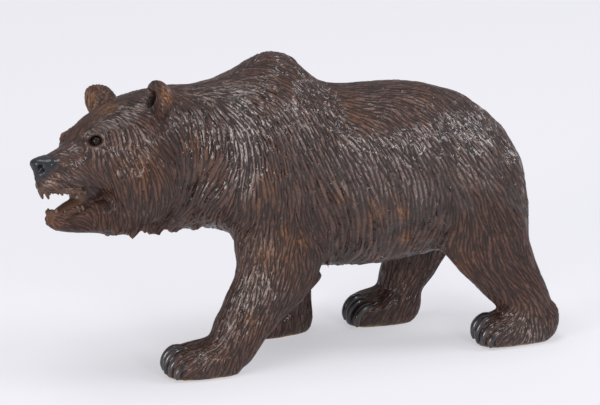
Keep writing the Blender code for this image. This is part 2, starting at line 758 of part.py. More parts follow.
def material(name, colour, roughness):
    """A plain material of one colour."""
    made = bpy.data.materials.new(name)
    made.use_nodes = True
    shader = made.node_tree.nodes["Principled BSDF"]
    shader.inputs["Base Color"].default_value = (*colour, 1)
    shader.inputs["Roughness"].default_value = roughness
    return made


def place_on_origin(objects):
    """Turns drawn millimetres into metres and centres the figure's box over the origin."""
    corners = np.array([v.co for obj in objects for v in obj.data.vertices])
    low, high = corners.min(0), corners.max(0)
    shift = Matrix.Translation((-(low[0] + high[0]) / 2, -(low[1] + high[1]) / 2, 0))
    for obj in objects:
        obj.data.transform(Matrix.Scale(UNIT, 4) @ shift)
        obj.data.update()


def main():
    """Carves the body, sets the eyes and puts the figure on the origin."""
    for obj in list(bpy.data.objects):
        bpy.data.objects.remove(obj)
    collection = bpy.data.collections.new("carved_bear")
    tools = bpy.data.collections.new("tools")
    for group in (collection, tools):
        bpy.context.scene.collection.children.link(group)
    generator = np.random.default_rng(SEED)
    mesh = carve_forms(rough_out(tools), tools, generator)
    carve_locks(mesh, generator)
    mesh = cut_soles(thinned(mesh, BODY_FACES, tools))
    mesh = joined(mesh, claws_and_teeth(), "UNION", tools)
    mesh = cut_soles(joined(mesh, cutters(), "DIFFERENCE", tools))
    mesh.name = "bear"
    mesh.materials.clear()
    mesh.materials.append(material("stained_wood", (0.09, 0.052, 0.035), 0.45))
    objects = [new_object("bear", mesh, collection)]
    glass = material("glass_eye", (0.012, 0.010, 0.009), 0.05)
    for name, ball in eye_balls(EYE_DIAMETER / UNIT / 2, 16):
        ball.materials.append(glass)
        objects.append(new_object(name, ball, collection))
    place_on_origin(objects)


main()
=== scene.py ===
"""The looks of the carved wooden bear: its fur cut stroke by stroke, its stain, and its glass eyes.

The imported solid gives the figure's masses. They are drawn in the same millimetres as the solid's
source, where UNIT turns drawn millimetres into metres. Face, ears, paws, claws and teeth are set on
them again with finer edges, and then every stroke of the gouge is laid along the lie of the fur.
Marks given as (column, row) are places in the camera's frame of 600 by 405.
"""

import math

import bmesh
import bpy
import numpy as np
from mathutils import Matrix, Vector
from mathutils.bvhtree import BVHTree
from mathutils.kdtree import KDTree


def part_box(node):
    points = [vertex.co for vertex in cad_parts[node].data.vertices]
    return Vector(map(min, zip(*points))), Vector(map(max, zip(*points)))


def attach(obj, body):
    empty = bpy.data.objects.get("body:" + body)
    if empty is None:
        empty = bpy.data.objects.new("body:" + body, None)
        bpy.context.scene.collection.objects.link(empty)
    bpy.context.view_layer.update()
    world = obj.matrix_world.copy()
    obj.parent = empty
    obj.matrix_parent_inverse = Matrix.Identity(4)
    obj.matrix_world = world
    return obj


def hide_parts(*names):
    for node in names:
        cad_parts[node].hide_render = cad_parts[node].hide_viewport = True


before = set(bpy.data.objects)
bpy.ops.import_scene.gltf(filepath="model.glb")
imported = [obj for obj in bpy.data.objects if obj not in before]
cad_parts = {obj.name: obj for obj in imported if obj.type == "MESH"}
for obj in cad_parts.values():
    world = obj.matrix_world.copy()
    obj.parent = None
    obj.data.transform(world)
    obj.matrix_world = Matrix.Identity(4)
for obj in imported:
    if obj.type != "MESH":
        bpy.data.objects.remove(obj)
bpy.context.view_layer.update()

# The solid's drawing
UNIT = 0.380 / 381.0
EYE_DIAMETER = 0.0058

# Camera: its direction in degrees, the row of the ground under the origin, the size of a pixel in drawn
# millimetres, its distance in metres, and how many drawn millimetres in front of the origin both hold
VIEW_AZIMUTH = -18.5
VIEW_ELEVATION = 18.0
FRAME_SIZE = (600, 405)
SOLE_ROW = 346.8
PIXEL = 0.6818
CAMERA_DISTANCE = 10.0
CAMERA_DEPTH = 60.0
SENSOR_WIDTH = 36.0

# Grain of the skin at each stage, in drawn millimetres, the triangles it is thinned to, the angle in
# degrees from which an edge is crisp, and the seed of the strokes
ROUGH_GRAIN = 1.3
FORM_GRAIN = 0.8
FUR_GRAIN = 0.5
SKIN_TRIANGLES = 186000
CRISP_ANGLE = 38.0
SEED = 5

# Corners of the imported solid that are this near, in metres, are one corner
SAME_PLACE = 2e-7
# Drawn millimetres towards the camera that are in front of the whole figure
CLEAR_OF_ALL = 600

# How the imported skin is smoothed: rounds, the share in each, how much less on the muzzle with where that
# starts and ends, the least share on the ground with where it ends, and how far the skin swells again
SMOOTH_ROUNDS = 14
SMOOTH_SHARE = 0.6
SMOOTH_LESS_AHEAD = (0.35, 20, 40)
SMOOTH_AT_GROUND = (0.2, 4, 16)
SWELL = 0.45

# Strokes: how many places are tried, how closely they may follow and stand beside each other, as shares
# of their length and width, and how much their sizes vary. Then each one's reach from its middle and half
# width, as shares, its steps each way, and how far it strays from the lie of the fur and bends at a step
MIDDLES_TRIED = 80000
STROKE_GAP = (0.95, 0.98)
STROKE_VARIETY = (0.78, 1.22)
STROKE_REACH = 0.75
STROKE_HALF = 0.575
STROKE_STEPS = 6
STROKE_TURN = 0.075
STROKE_BEND = 0.022
# Side of a cell in the search for near strokes, points handled at a time, and how softly guides blend
CELL = 16.0
BATCH = 8000
GUIDE_BLEND = 30
# The least share that a face is taken to look at the camera, and how many half widths a line cuts
LEAST_FACING = 0.3
CUT_REACH = 2.5
LINE_VALUES = ("place", "side", "depth", "half", "tone")

# The head's place: the point between the ears, and how the head is turned, bowed and tilted
HEAD_AT = (-125.0, -12.0, 184.4)
HEAD_TURN = 22.5
HEAD_BOW = 12.0
HEAD_TILT = 13.0

# Skull and upper jaw, the lower jaw and the nose, in the head's frame: forward, top, bottom, half width
SKULL = [
    (-46, 1.5, -66, 31),
    (-14, 10.5, -70, 37),
    (8, 12.2, -66, 37.5),
    (26, 11.2, -60, 34),
    (38, 9.0, -50, 28),
    (48, 5.2, -41, 22),
    (57, 1.4, -34.5, 16.4),
    (67, 0.6, -29.5, 12.8),
    (76, 0.8, -25.8, 10.4),
    (83, -1.4, -22.6, 8.2),
    (87.4, -3.6, -20.6, 5.2),
    (90.2, -6.5, -19.4, 2.6),
]
JAW = [
    (26, -34, -77, 29),
    (44, -40, -71.5, 20),
    (56, -40, -65, 15.4),
    (68, -39.5, -59.5, 12.2),
    (79, -38, -54.5, 9.8),
    (86, -36, -50.6, 7.4),
    (90, -36, -47.5, 4.0),
]
NOSE = [
    (74, 1.2, -7.0, 5.2),
    (79, 2.0, -8.4, 6.9),
    (83.6, 2.5, -9.2, 7.2),
    (87.2, 2.6, -8.8, 5.8),
    (89.6, 1.8, -4.4, 3.4),
]
# Where the crisp part of these starts, the size of its first section as a share, each form with the number
# of its sections and its fullness, and the points round a section
MUZZLE_FROM = 34.0
FIRST_SECTION = 0.93
FACE_LOFTS = [(SKULL, 60, 2.35), (JAW, 36, 2.35), (NOSE, 24, 2.8)]
LOFT_SIDES = 36

# Rounded forms of the face: centre with y outwards, half lengths, tip about the sideways axis
NOSE_PAD = ((84.6, 0, -4.6), (8.6, 8.8, 8.2), 0)
NOSE_WING = ((79.5, 6.6, -4.4), (6.0, 4.2, 5.0), 20)
NOSTRIL = ((87.0, 4.6, -4.2), (4.4, 2.2, 2.9), 30)
NOSTRIL_WAY = (-0.94, -0.2, 0.25)
UPPER_LIP = ((77.8, 4.9, -15.8), (11.6, 6.2, 6.6), 14)
LOWER_LIP = ((78.5, 6.8, -42.5), (12, 3.7, 4.4), 8)
TONGUE = ((68, 0, -39), (20, 7.6, 4.3), 0)
THROAT = ((53, 0, -32), (15, 12, 12), 0)
EYE_BED = ((44, 13.2, -5), (12, 6.2, 8), 0)
BROW = ((41, 13.6, 2.6), (9.0, 5.0, 3.2), 8)
CHIN_KNOBS = [
    ((88.2, 1.9, -35.6), (2.5, 2.4, 2.0), 0),
    ((89.0, 3.6, -40.2), (2.6, 2.3, 2.2), 0),
    ((89.6, 1.2, -44.2), (2.2, 2.2, 2.1), 0),
    ((85.6, 6.4, -38.4), (2.6, 2.0, 1.9), 0),
    ((84.8, 7.0, -43.2), (3.0, 1.9, 2.2), 0),
]
FACE_FORMS = [NOSE_WING, UPPER_LIP, LOWER_LIP, TONGUE, THROAT, EYE_BED, BROW, *CHIN_KNOBS]

# The fold from the nose over the eye: forward, outward, level and half thickness. On the far side it is
# drawn in to a share and lowered
BROW_FOLD = [
    (53.5, 13.2, 0.6, 1.2),
    (51.2, 16.2, 3.8, 2.0),
    (46.6, 18.6, 6.0, 2.5),
    (42.0, 20.8, 4.0, 2.4),
    (38.4, 22.9, -0.8, 1.5),
]
FAR_FOLD = (0.78, 3.6)

# The eye: its middle, the way it looks, the hollow inside its lids and the gap round the ball. The lids'
# oval ring: level, half length and half height, then its half thickness across, outwards and inwards
EYE_AT = (46.8, 18.5, -0.4)
EYE_OUTWARD = (0.52, 0.84, 0.14)
EYE_HOLLOW = ((0.9, 0, -0.2), (2.9, 5.2, 3.7), 0)
SOCKET_GAP = 0.4
LID_RING = (0.2, 5.2, 3.8)
LID_THICKNESS = (1.1, 1.0, 1.0)

# Ears: middle in the head's frame, how far each is turned outwards, leans back and splays, its half
# thickness behind and half width, and how deep its slit is
EARS = [
    {"at": (-1.6, 31, 8.8), "side": 1, "turn": -14.0, "lean": 18.0, "splay": 10.0,
     "behind": 11.0, "wide": 15.0, "slit": 9.5},
    {"at": (3.0, -31.5, 6.5), "side": -1, "turn": 0.0, "lean": 4.0, "splay": 20.0,
     "behind": 14.5, "wide": 13.2, "slit": 4.4},
]
# Half thickness in front, half height, depth of the cup and its reach as a share, then the slit: middle,
# half width and half height, and its tilt
EAR_FRONT = 4.0
EAR_HEIGHT = 13.8
EAR_CUP = 3.2
EAR_CUP_REACH = 0.7
EAR_SLIT = ((3.0, -3.6, -3.2), (3.3, 9.2))
EAR_SLIT_TILT = -26.0

# Teeth: keys of each jaw's row in the head's frame, forward, outward, root, tip and half width
UPPER_ROW = [
    (89.0, 0.9, -18.4, -21.6, 1.25),
    (87.6, 3.2, -19.0, -22.4, 1.3),
    (84.4, 5.3, -20.6, -24.2, 1.45),
    (79.0, 7.3, -23.0, -26.8, 1.6),
    (71.6, 9.2, -26.4, -30.0, 1.7),
    (64.0, 11.2, -30.2, -33.2, 1.7),
]
LOWER_ROW = [
    (88.6, 1.0, -39.0, -34.8, 1.1),
    (87.2, 3.6, -39.6, -35.2, 1.15),
    (83.4, 5.8, -41.0, -37.4, 1.25),
    (76.4, 7.8, -42.0, -38.3, 1.35),
    (68.0, 9.2, -42.6, -38.6, 1.35),
]
# Teeth on each side of a row, the eye teeth, how much three teeth in turn differ in level and each in
# brown, and a tooth's sections and taper
ROW_TEETH = 11
EYE_TEETH = [(88.0, 3.4, -19.4, -26.2, 1.7), (85.8, 4.6, -40.0, -34.2, 1.5)]
TOOTH_LENGTHS = (-0.5, 0.3, 0.6)
TOOTH_BROWN = 0.37
TOOTH_STEPS = (0, 0.3, 0.55, 0.75, 0.9, 1)
TOOTH_TAPER = 0.65
# The ridge that carries a row: half thickness, and its level as shares of root and tip
GUM = 1.5
GUM_LEVEL = (0.62, 0.38)

# Paws: the middle of the sole, its side and length, how far it turns in, how far its claws turn out
PAW_SPREAD = 34.7
PAWS = [
    {"x": -80.0, "side": -1, "length": 52.0, "turn_in": 4.0, "claws_out": 1.6, "hind": False},
    {"x": -7.5, "side": 1, "length": 52.0, "turn_in": 4.0, "claws_out": 0.0, "hind": False},
    {"x": 145.5, "side": -1, "length": 56.0, "turn_in": -2.0, "claws_out": 1.6, "hind": True},
    {"x": 72.0, "side": 1, "length": 50.0, "turn_in": -2.0, "claws_out": 0.0, "hind": True},
]
# Paw sections from heel to toe: share of the paw's length, level, half width, up, down
FRONT_PAW = [
    (0.00, 12, 8, 7, 8),
    (0.09, 11, 14, 11.5, 12.5),
    (0.30, 10, 17.5, 14, 13),
    (0.58, 9.5, 18.8, 13, 13),
    (0.82, 9, 17.8, 10.8, 12),
    (0.95, 8, 13.5, 8.2, 10),
    (1.01, 7, 7, 4, 7),
]
HIND_PAW = [
    (0.00, 15, 8, 8, 7),
    (0.08, 13.5, 13.5, 13, 12.5),
    (0.24, 12, 16.6, 16, 15),
    (0.50, 10, 17.8, 14, 13),
    (0.80, 9.5, 18, 10.8, 12),
    (0.94, 8.5, 14.5, 8.5, 10),
    (1.01, 7.5, 8, 5, 8),
]
# Claws from the inner one to the outer one: outwards, set back, heading outwards, width, height and how
# far its stain is rubbed to brown
CLAWS = [
    (-12.4, 3.6, -9, 0.92, 0.86, 0.1),
    (-6.0, 0.6, -4, 1.05, 0.98, 0.0),
    (0.6, 0.3, 1, 1.08, 1.0, 0.0),
    (6.4, 2.5, 3, 1.02, 0.86, 0.25),
    (11.2, 5.2, 5, 0.94, 0.66, 0.85),
]
# How far behind the paw's front a claw's pivot is, the claw's path as reach, level and half width, and how
# much fuller its back is. Then the toe behind it, its middle, half lengths and tip, and a paw's fullness
CLAW_PIVOT = 18.6
CLAW_PATH = [
    (8.0, 18.8, 1.6),
    (13.8, 17.8, 2.9),
    (18.6, 13.4, 2.9),
    (20.8, 8.0, 2.3),
    (20.6, 2.8, 1.1),
]
CLAW_RIDGE = 1.15
TOE = ((5.6, 0, 11.8), (9.4, 3.7, 9.0), 12)
PAW_FULLNESS = 2.3

# The legs' middle lines from the shoulder or hip down: side, then x, share of PAW_SPREAD, z, half
# length and half width
LEGS = [
    (-1, [
        (-22, 0.78, 91, 34, 21), (-38.8, 0.95, 52, 23.2, 17.5), (-49.6, 1, 37, 19.6, 16), (-64, 1, 8, 15, 15),
    ]),
    (1, [(-14, 0.78, 92, 32, 20.5), (-2, 0.95, 46, 20.5, 17), (1.5, 1, 29, 18, 16), (3.5, 1, 5, 16, 15)]),
    (-1, [
        (120, 0.72, 91, 37, 22), (140, 0.95, 46, 21.5, 16.5), (149, 1, 32, 18.3, 15.5), (155, 1, 8, 14, 14),
    ]),
    (1, [(104, 0.72, 91, 34, 22), (91, 0.95, 41, 19.5, 16.5), (85, 1, 28, 16, 15.5), (80, 1, 6, 12, 14.5)]),
]
# Where strokes are laid round a leg, as shares of its half length and half width, and on top of a paw, as
# a share of its length and a place across, with their level and way
LEG_SPOTS = [(-0.9, 0.3), (0.9, 0.3), (0, 1), (0, -1), (0.7, -0.7), (-0.7, -0.7)]
PAW_SPOTS = [(share, across) for share in (-0.3, 0, 0.3) for across in (-12, 0, 12)]
PAW_TOP = 18
PAW_WAY = (-1, 0, -0.3)

# How each zone of the fur is cut: the strokes' length, width, depth and polish, and how the zone is
# carried to the far side. Then where its strokes lie in the camera's frame: column, row, and the
# direction in degrees clockwise from the right
SEEN_FUR = {
    "muzzle": ((3.6, 1.25, 0.42, 0.5), "head", [
        (63.5, 147, -30), (69.5, 159, 25), (83, 176, 35), (94, 186, 45), (97.5, 157, 100),
        (104.7, 147, 60),
    ]),
    "forehead": ((6, 1.5, 0.4, 0.25), "head", [
        (81.7, 128, -50), (100, 118, -35), (124, 111, -10), (134, 102, 20), (136, 114.5, 15),
        (148, 128, 40), (112, 128, 20), (124, 123, 40), (158, 128, 60),
    ]),
    "cheek": ((9, 1.9, 0.8, 0.4), "head", [
        (118, 139, 95), (128, 139, 80), (142, 139, 75), (154.4, 154.5, 50), (166.5, 151, 55),
        (180, 140, 55), (118, 163, 60), (124, 175, 70), (130, 193, 85), (148, 193, 85), (166.5, 181, 70),
    ]),
    "jowl": ((8, 1.35, 0.42, 0.15), "head", [
        (172.6, 211.5, 120), (160.5, 223.6, 150), (75.6, 221, 10), (105, 215, 80), (63.5, 226, 20),
        (136, 233, 100),
    ]),
    "ruff": ((14, 2.1, 1.1, 0.62), "body", [
        (184.7, 108.5, 40), (191, 120.6, 75), (188, 145, 85), (191, 169, 92), (184.7, 193, 110),
        (178.6, 211.5, 130), (197, 193, 110), (178.8, 103, 20), (192, 110, 50), (199, 131, 80),
        (203.7, 150, 95), (199, 179, 110), (214, 122, 60), (224, 142.7, 90), (218.4, 167.6, 120),
        (218.4, 186.7, 125), (231.6, 122, 50), (240.4, 142.7, 75), (246.3, 164.7, 88), (243.3, 186.7, 100),
    ]),
    "nape": ((6, 1.6, 0.5, 0.4), "body", [
        (192, 88.4, 0), (228.7, 91.3, -3), (252, 88.4, 10),
    ]),
    "hump": ((7, 1.8, 1.0, 0.7), "body", [
        (272.7, 59, 10), (258, 72.3, 5), (287.4, 76.7, 25), (263.9, 101.6, 35), (252, 116.3, 45),
        (269.8, 128, 55), (299, 104.5, 50), (316.7, 98.7, 40), (294.7, 128, 60), (316.7, 122, 60),
        (331.4, 113.3, 50), (284.4, 145.6, 68), (302, 145.6, 68), (272.7, 172, 80), (324, 145.6, 65),
    ]),
    "flank": ((10, 2.3, 1.0, 0.9), "body", [
        (346, 164.7, 62), (368, 142.7, 58), (375.4, 179.4, 66), (376, 159.5, 62), (345, 167, 64),
        (368, 194.7, 70), (398.9, 197.8, 74), (421.8, 182.5, 72), (425, 205, 84), (437, 197.8, 88),
        (440, 220.7, 98), (379, 213, 80), (391, 228.4, 85),
    ]),
    "back": ((6.5, 1.8, 0.6, 0.5), "body", [
        (346, 98.7, 5), (375.4, 101.6, 2), (360.7, 122, 25), (390, 125, 35), (353, 93.7, 0),
        (376, 106, -3), (376, 118, 10), (353, 124.3, 20), (398.9, 90.6, 2), (421.8, 87.6, 12),
        (415.7, 106, 25), (398.9, 121.2, 45), (415.7, 127.3, 50),
    ]),
    "rump": ((8, 2.3, 0.95, 0.9), "body", [
        (437, 109, 35), (449.4, 106, 38), (467.8, 106, 45), (460, 125.8, 45), (483, 129, 50),
        (490.7, 151.8, 52), (467.8, 151.8, 55), (437, 145.7, 52), (415.7, 151.8, 62), (460, 182.5, 58),
        (467.8, 205.4, 70), (483, 174.8, 55), (498.4, 182.5, 55), (513.7, 167, 60), (513.7, 205.4, 62),
        (526, 213, 70), (503, 136.5, 60), (521, 190, 72),
    ]),
    "lower_flank": ((15, 2.5, 1.25, 0.6), "body", [
        (338.3, 198.3, 65), (350.7, 210.7, 75), (363.2, 206.6, 75), (375.6, 214.9, 80), (396.3, 206.6, 82),
        (413, 206.6, 88), (433.6, 206.6, 88), (336.6, 239.8, 88), (345, 248, 105), (354.9, 239.8, 92),
        (359, 248, 105), (371.5, 231.5, 95), (367.3, 252.2, 108), (379.8, 239.8, 92), (392.2, 241.4, 112),
        (398, 236.4, 98), (404.6, 248, 120), (421.2, 227.3, 98), (419.6, 236.4, 125), (425.4, 239.8, 128),
        (437.8, 225.7, 105), (442, 239.8, 130), (450.2, 231.5, 110), (354.9, 258.8, 150),
    ]),
    "front_leg": ((8, 1.6, 0.7, 0.38), "none", [
        (246, 231.5, 120), (263.3, 248.7, 92), (274.8, 243, 90), (286.3, 231.5, 85), (303.5, 237.2, 70),
        (320.7, 248.7, 60), (315, 231.5, 65), (269, 265.9, 97), (286.3, 265.9, 90), (309.3, 265.9, 85),
        (251.8, 271.7, 105), (242.7, 284.3, 110), (257.6, 294.6, 100), (274.8, 294.6, 100),
        (292, 288.9, 110), (234.6, 306, 110), (247.3, 311.8, 105), (263.3, 317.6, 108),
        (224.3, 323.3, 112), (238, 329, 108), (251.8, 334.8, 100), (211.7, 336, 130), (224.3, 341.7, 125),
        (233.5, 348.6, 95), (240.4, 357.8, 75),
    ]),
    "front_paw": ((6, 1.45, 0.62, 0.45), "none", [
        (194.4, 344, 155), (203.6, 352, 150), (211.7, 357.8, 145), (223.1, 361.2, 110), (183, 352, 150),
        (194.4, 367, 130), (206, 369.3, 120), (217.4, 372.7, 100), (234.6, 369.3, 80),
    ]),
    "thigh": ((8, 1.7, 0.55, 0.3), "none", [
        (449.6, 209, 95), (445.7, 233, 110), (454.4, 233, 105), (464, 218.7, 92), (464, 247.4, 95),
        (468.7, 257, 70), (483, 276, 50), (497.4, 290.5, 42), (483, 237.8, 85), (487.8, 214, 72),
        (478.3, 199.6, 68), (487.8, 257, 78), (502.2, 271.3, 65), (507, 218.7, 62), (521.3, 218.7, 58),
        (511.8, 237.8, 75), (526, 247.4, 80), (516.6, 264.6, 45), (526, 271.3, 50), (535.7, 276, 55),
        (516.6, 285.7, 45), (531, 285.7, 45), (535.7, 295.3, 40), (521.3, 300, 40), (550, 304.8, 40),
        (540.5, 314.4, 60), (554.8, 314.4, 35),
    ]),
    "hind_paw": ((5.5, 1.5, 0.62, 0.55), "none", [
        (526, 312.5, 100), (523.3, 324, 120), (535.7, 324, 85), (545.3, 322, 65), (511.8, 312.5, 150),
        (505, 314.4, 170), (493.6, 319.2, 175), (507, 328.8, 150), (521.3, 333.5, 115), (535.7, 333.5, 90),
        (545.3, 331.6, 75),
    ]),
}
# Fur that the camera doesn't show, carried to both sides: x, y outwards, z, direction, and the strokes
HIDDEN_FUR = [
    ((50, 18, 58), (-0.5, -0.6, -0.3), (12, 2.8, 0.8, 0.6)),
    ((20, 12, 60), (0.6, -0.5, -0.2), (12, 2.8, 0.8, 0.6)),
    ((90, 12, 62), (0.8, -0.4, 0.1), (12, 2.8, 0.7, 0.6)),
    ((155, 5, 120), (0.3, 0.2, -1), (11, 2.6, 0.7, 0.6)),
    ((150, 20, 100), (0.2, 0.1, -1), (11, 2.6, 0.7, 0.6)),
    ((-90, 20, 103), (-0.3, -0.6, -0.6), (15, 2.8, 0.9, 0.6)),
    ((-62, 12, 94), (0.3, -0.3, -0.8), (14, 2.8, 0.9, 0.6)),
    ((-115, 8, 112), (0.2, -0.4, -0.9), (13, 2.6, 0.8, 0.6)),
    ((-30, 10, 72), (0.8, -0.3, -0.3), (12, 2.8, 0.8, 0.6)),
]
LEG_STROKES = (8.5, 1.7, 0.7, 0.35)
PAW_STROKES = (6, 1.5, 0.6, 0.4)

# Dark V cuts between the big locks, as lines in the camera's frame, with their half width and depth, and
# what carries them to the far side. A depth below 0 raises a fold
FACE_LINES = [
    (1.5, -0.9, [(83, 140), (86, 134), (92, 130), (99, 131.5), (104, 134), (109, 139)]),
    (1.3, 1.0, [(82, 141), (86, 142.5), (90, 142.5)]),
    (1.2, 1.2, [(88, 137), (92.5, 134), (98, 134), (103, 137)]),
    (1.3, -0.6, [(87, 149), (93, 151), (100, 149.5), (105, 145)]),
    (1.3, 1.5, [(41, 176), (39.5, 182), (41, 188)]),
    (1.2, 1.2, [(43, 177), (49, 178.5), (55, 176), (59, 171)]),
    (1.4, 1.6, [(92, 204), (85, 209.5), (78, 215.5), (70, 220), (62, 221.5)]),
    (1.2, 0.9, [(48, 193.5), (60, 194), (74, 195), (88, 195)]),
]
DEEP_CUTS = [
    (2.4, 1.2, [(158, 128), (165, 145), (176, 169), (178.6, 193.3), (170, 211.5), (154.4, 227)]),
    (2.0, 2.0, [(193, 152), (189.5, 175), (182, 199.4), (166.5, 216.4), (158, 221)]),
    (2.0, 2.0, [(200, 157), (197, 181), (189.5, 199.4), (172.6, 216.4)]),
    (2.0, 2.0, [(193.5, 135), (192, 172), (187.6, 200)]),
    (2.0, 2.0, [(228.7, 139.7), (221.3, 160.3), (202.3, 180.8), (189, 198.4)]),
    (2.0, 2.0, [(231.6, 142.7), (230, 164.7), (218.4, 186.7), (206.7, 200)]),
    (2.0, 2.0, [(214, 142.7), (211, 164.7), (199.3, 186.7)]),
    (1.8, 1.7, [(333.3, 227.3), (336.6, 239.8), (336.6, 252.2)]),
    (1.8, 1.7, [(347.4, 239.8), (346.6, 248), (340.8, 256.3)]),
    (1.8, 1.7, [(361.5, 239.8), (356.5, 253)]),
    (1.8, 1.7, [(370.6, 229.8), (369, 241.4), (363.2, 252.2)]),
    (1.8, 1.6, [(375.6, 224.8), (374.8, 236.4)]),
    (1.8, 1.6, [(393, 239), (387.2, 247.2)]),
    (1.8, 1.7, [(398, 234.8), (397.2, 244), (391.4, 253)]),
    (1.8, 1.7, [(425, 218), (422.9, 229.8), (413.7, 243)]),
    (1.8, 1.7, [(427.8, 234.8), (421.2, 243), (413, 249.7)]),
    (1.8, 1.7, [(440.3, 209), (439.5, 223.2), (434.5, 229.8)]),
    (1.8, 1.6, [(447.7, 233), (446, 241.4)]),
    (1.8, 1.6, [(456, 229), (452, 237.3)]),
    (1.8, 1.6, [(440.2, 203.9), (437.1, 214.6), (420.3, 234.5)]),
    (1.8, 1.6, [(428, 217.7), (415.7, 236)]),
    (1.9, 1.8, [(256.4, 224.6), (247.3, 235)]),
    (1.9, 1.8, [(248.4, 230.3), (239.2, 239.5)]),
    (1.9, 1.8, [(309.3, 231.5), (323, 248.7)]),
]

# Locks that hang from the edge of throat, chest, elbow and hocks: column and row of the tip, half width.
# Then where a lock's root is from its tip, in pixels, and its steps and taper from root to tip
LOCK_ROOT = (0.5, -9)
LOCK_STEPS = (-0.3, 0, 0.3, 0.6, 0.85, 1)
LOCK_TAPER = 0.9
HANGING_LOCKS = [
    (84, 231.5, 2.6), (94, 231.5, 2.8), (105, 233, 3.6), (117.5, 237, 4.0), (125, 235, 3.4),
    (133.5, 239.5, 4.8), (146, 234.5, 3.8), (154, 233.5, 3.6), (166, 231, 4.0), (178, 226.5, 3.2),
    (188, 224, 3.0), (197, 223.5, 2.8), (205, 223, 2.8), (213, 224, 2.8), (221, 227, 2.8), (228, 231, 2.8),
    (316.5, 285, 3.4), (323.5, 277, 3.2), (328, 269, 2.6), (308, 290, 3.0), (262.5, 339.5, 2.6),
    (257, 347.5, 2.8), (252, 355, 2.8), (247.5, 362, 2.6), (430, 274, 2.6), (425.5, 282, 2.6),
    (422, 291, 2.4), (245, 246, 3.0), (243, 254, 2.8),
]

# Spots worn through to the bare orange wood, spots of painted sheen where the ridges are painted pale, partly
# real rubbing, spots of painted shade, and broad spots where the stain is warmer: column, row, reach in drawn
# millimetres and strength
SPOTS = {
    "worn": [
        (169.5, 97, 5.0, 1.0), (168, 90, 3.6, 0.8), (379, 214, 5, 0.9), (372, 206, 4, 0.5),
        (263, 252, 6, 0.5), (284, 232, 4, 0.6), (300, 240, 4, 0.8), (306, 246, 4, 0.7), (408, 238, 6, 0.6),
        (90, 98, 8, 1.0), (53, 222, 4, 0.6), (57, 183, 3, 0.4), (250, 318, 4, 0.5), (344, 200, 6, 0.5),
        (404, 214, 5, 0.5), (470, 100, 4, 0.3),
    ],
    # Painted sheen and highlights, partly real rubbing: ridges painted pale on brow, cheek, shoulder, flank,
    # nape, forehead and legs
    "rubbed_and_painted_sheen": [
        (86, 135, 2.6, 1.0), (92, 130, 2.6, 1.0), (99, 131, 2.6, 0.9), (106, 136, 2.8, 0.9),
        (99, 152, 3.6, 0.8), (104, 158, 3.4, 0.6), (247, 150, 11, 1.8), (244, 130, 11, 1.8),
        (240, 112, 9, 1.6), (247, 170, 9, 1.6), (245, 188, 7, 1.0), (308, 132, 14, 0.8),
        (290, 112, 10, 0.5), (128, 140, 8, 0.6), (140, 135, 8, 0.6), (118, 150, 6, 0.4),
        (262, 140, 7, 0.5), (344, 152, 16, 0.62), (370, 162, 18, 0.62), (432, 150, 14, 0.65),
        (352, 186, 11, 0.5), (386, 190, 11, 0.6), (414, 192, 12, 0.6), (470, 164, 12, 0.8),
        (488, 176, 9, 0.6), (90, 100, 6, 0.6), (400, 166, 20, 0.65), (455, 118, 10, 0.5),
        (478, 140, 14, 0.8), (262, 286, 13, 0.85), (248, 304, 13, 0.85), (234, 326, 9, 0.7),
        (205, 356, 9, 0.5), (224, 342, 5, 0.8), (216, 346, 5, 0.5), (70, 182, 8, 0.4), (530, 338, 13, 0.8),
        (514, 324, 8, 0.5), (52, 183, 3, 0.7), (200, 93, 10, 0.8), (220, 93, 11, 0.9), (240, 92, 10, 0.8),
        (112, 118, 8, 0.8), (128, 112, 9, 0.9), (142, 106, 8, 0.8), (380, 104, 20, 0.3),
        (420, 104, 20, 0.3), (262, 250, 12, 0.4),
    ],
    # Painted shade: eye recess, mouth corner, nostrils, jaw crease and the root of the near ear darkened
    "painted_shade": [
        (92, 139.5, 2.6, 0.95), (95, 136.8, 2.2, 0.8), (88, 141, 1.8, 0.7), (101, 139, 2.0, 0.7),
        (89, 196, 3.0, 0.8), (41.5, 181, 1.4, 0.8), (41.5, 186, 1.4, 0.8), (84, 210, 2.0, 0.8),
        (79, 214, 2.0, 0.8), (152, 108, 4.0, 0.9), (151, 113, 3.2, 0.8), (155, 100, 2.4, 0.6),
    ],
    "warm": [
        (142, 172, 16, 1.0), (132, 150, 9, 0.7), (196, 148, 9, 0.9), (188, 172, 8, 0.5),
        (266, 186, 13, 0.9), (262, 202, 10, 0.7), (352, 116, 16, 0.7), (392, 205, 14, 0.8),
        (366, 222, 10, 0.6), (430, 96, 16, 0.6), (460, 266, 12, 0.9), (272, 262, 16, 0.7),
        (246, 320, 14, 0.6), (90, 98, 9, 0.7), (170, 96, 7, 0.6), (520, 318, 12, 0.4), (216, 352, 10, 0.5),
        (200, 100, 10, 0.4), (444, 236, 9, 0.5),
    ],
}

# Where each mask starts and ends to fade. NOSE_EDGE, SLIT_EDGE and the last pair of MOUTH, after its middle
# and half lengths, are shares out of a rounded form. The others are drawn millimetres: from a ridge of
# teeth, forward in the throat, from the middle of the eye, out along an eye or an ear, above the ground
NOSE_EDGE = (1.02, 1.12)
MOUTH = ((66, 0, -33), (28, 9.5, 9.5), (0.85, 1.05))
GUM_EDGE = (GUM + 0.3, GUM + 1.0)
THROAT_EDGE = (53, 61)
EYE_OVAL = 1.25
LID_EDGE = (4.4, 5.6)
SOCKET_EDGE = (2.7, 3.7)
EYE_DEPTH = (4, 6)
SLIT_EDGE = (1.02, 1.2)
SLIT_DEPTH = (-1.5, 1.5)
SLIT_PLAIN = 0.6
SOLE_EDGE = (0.4, 1.6)

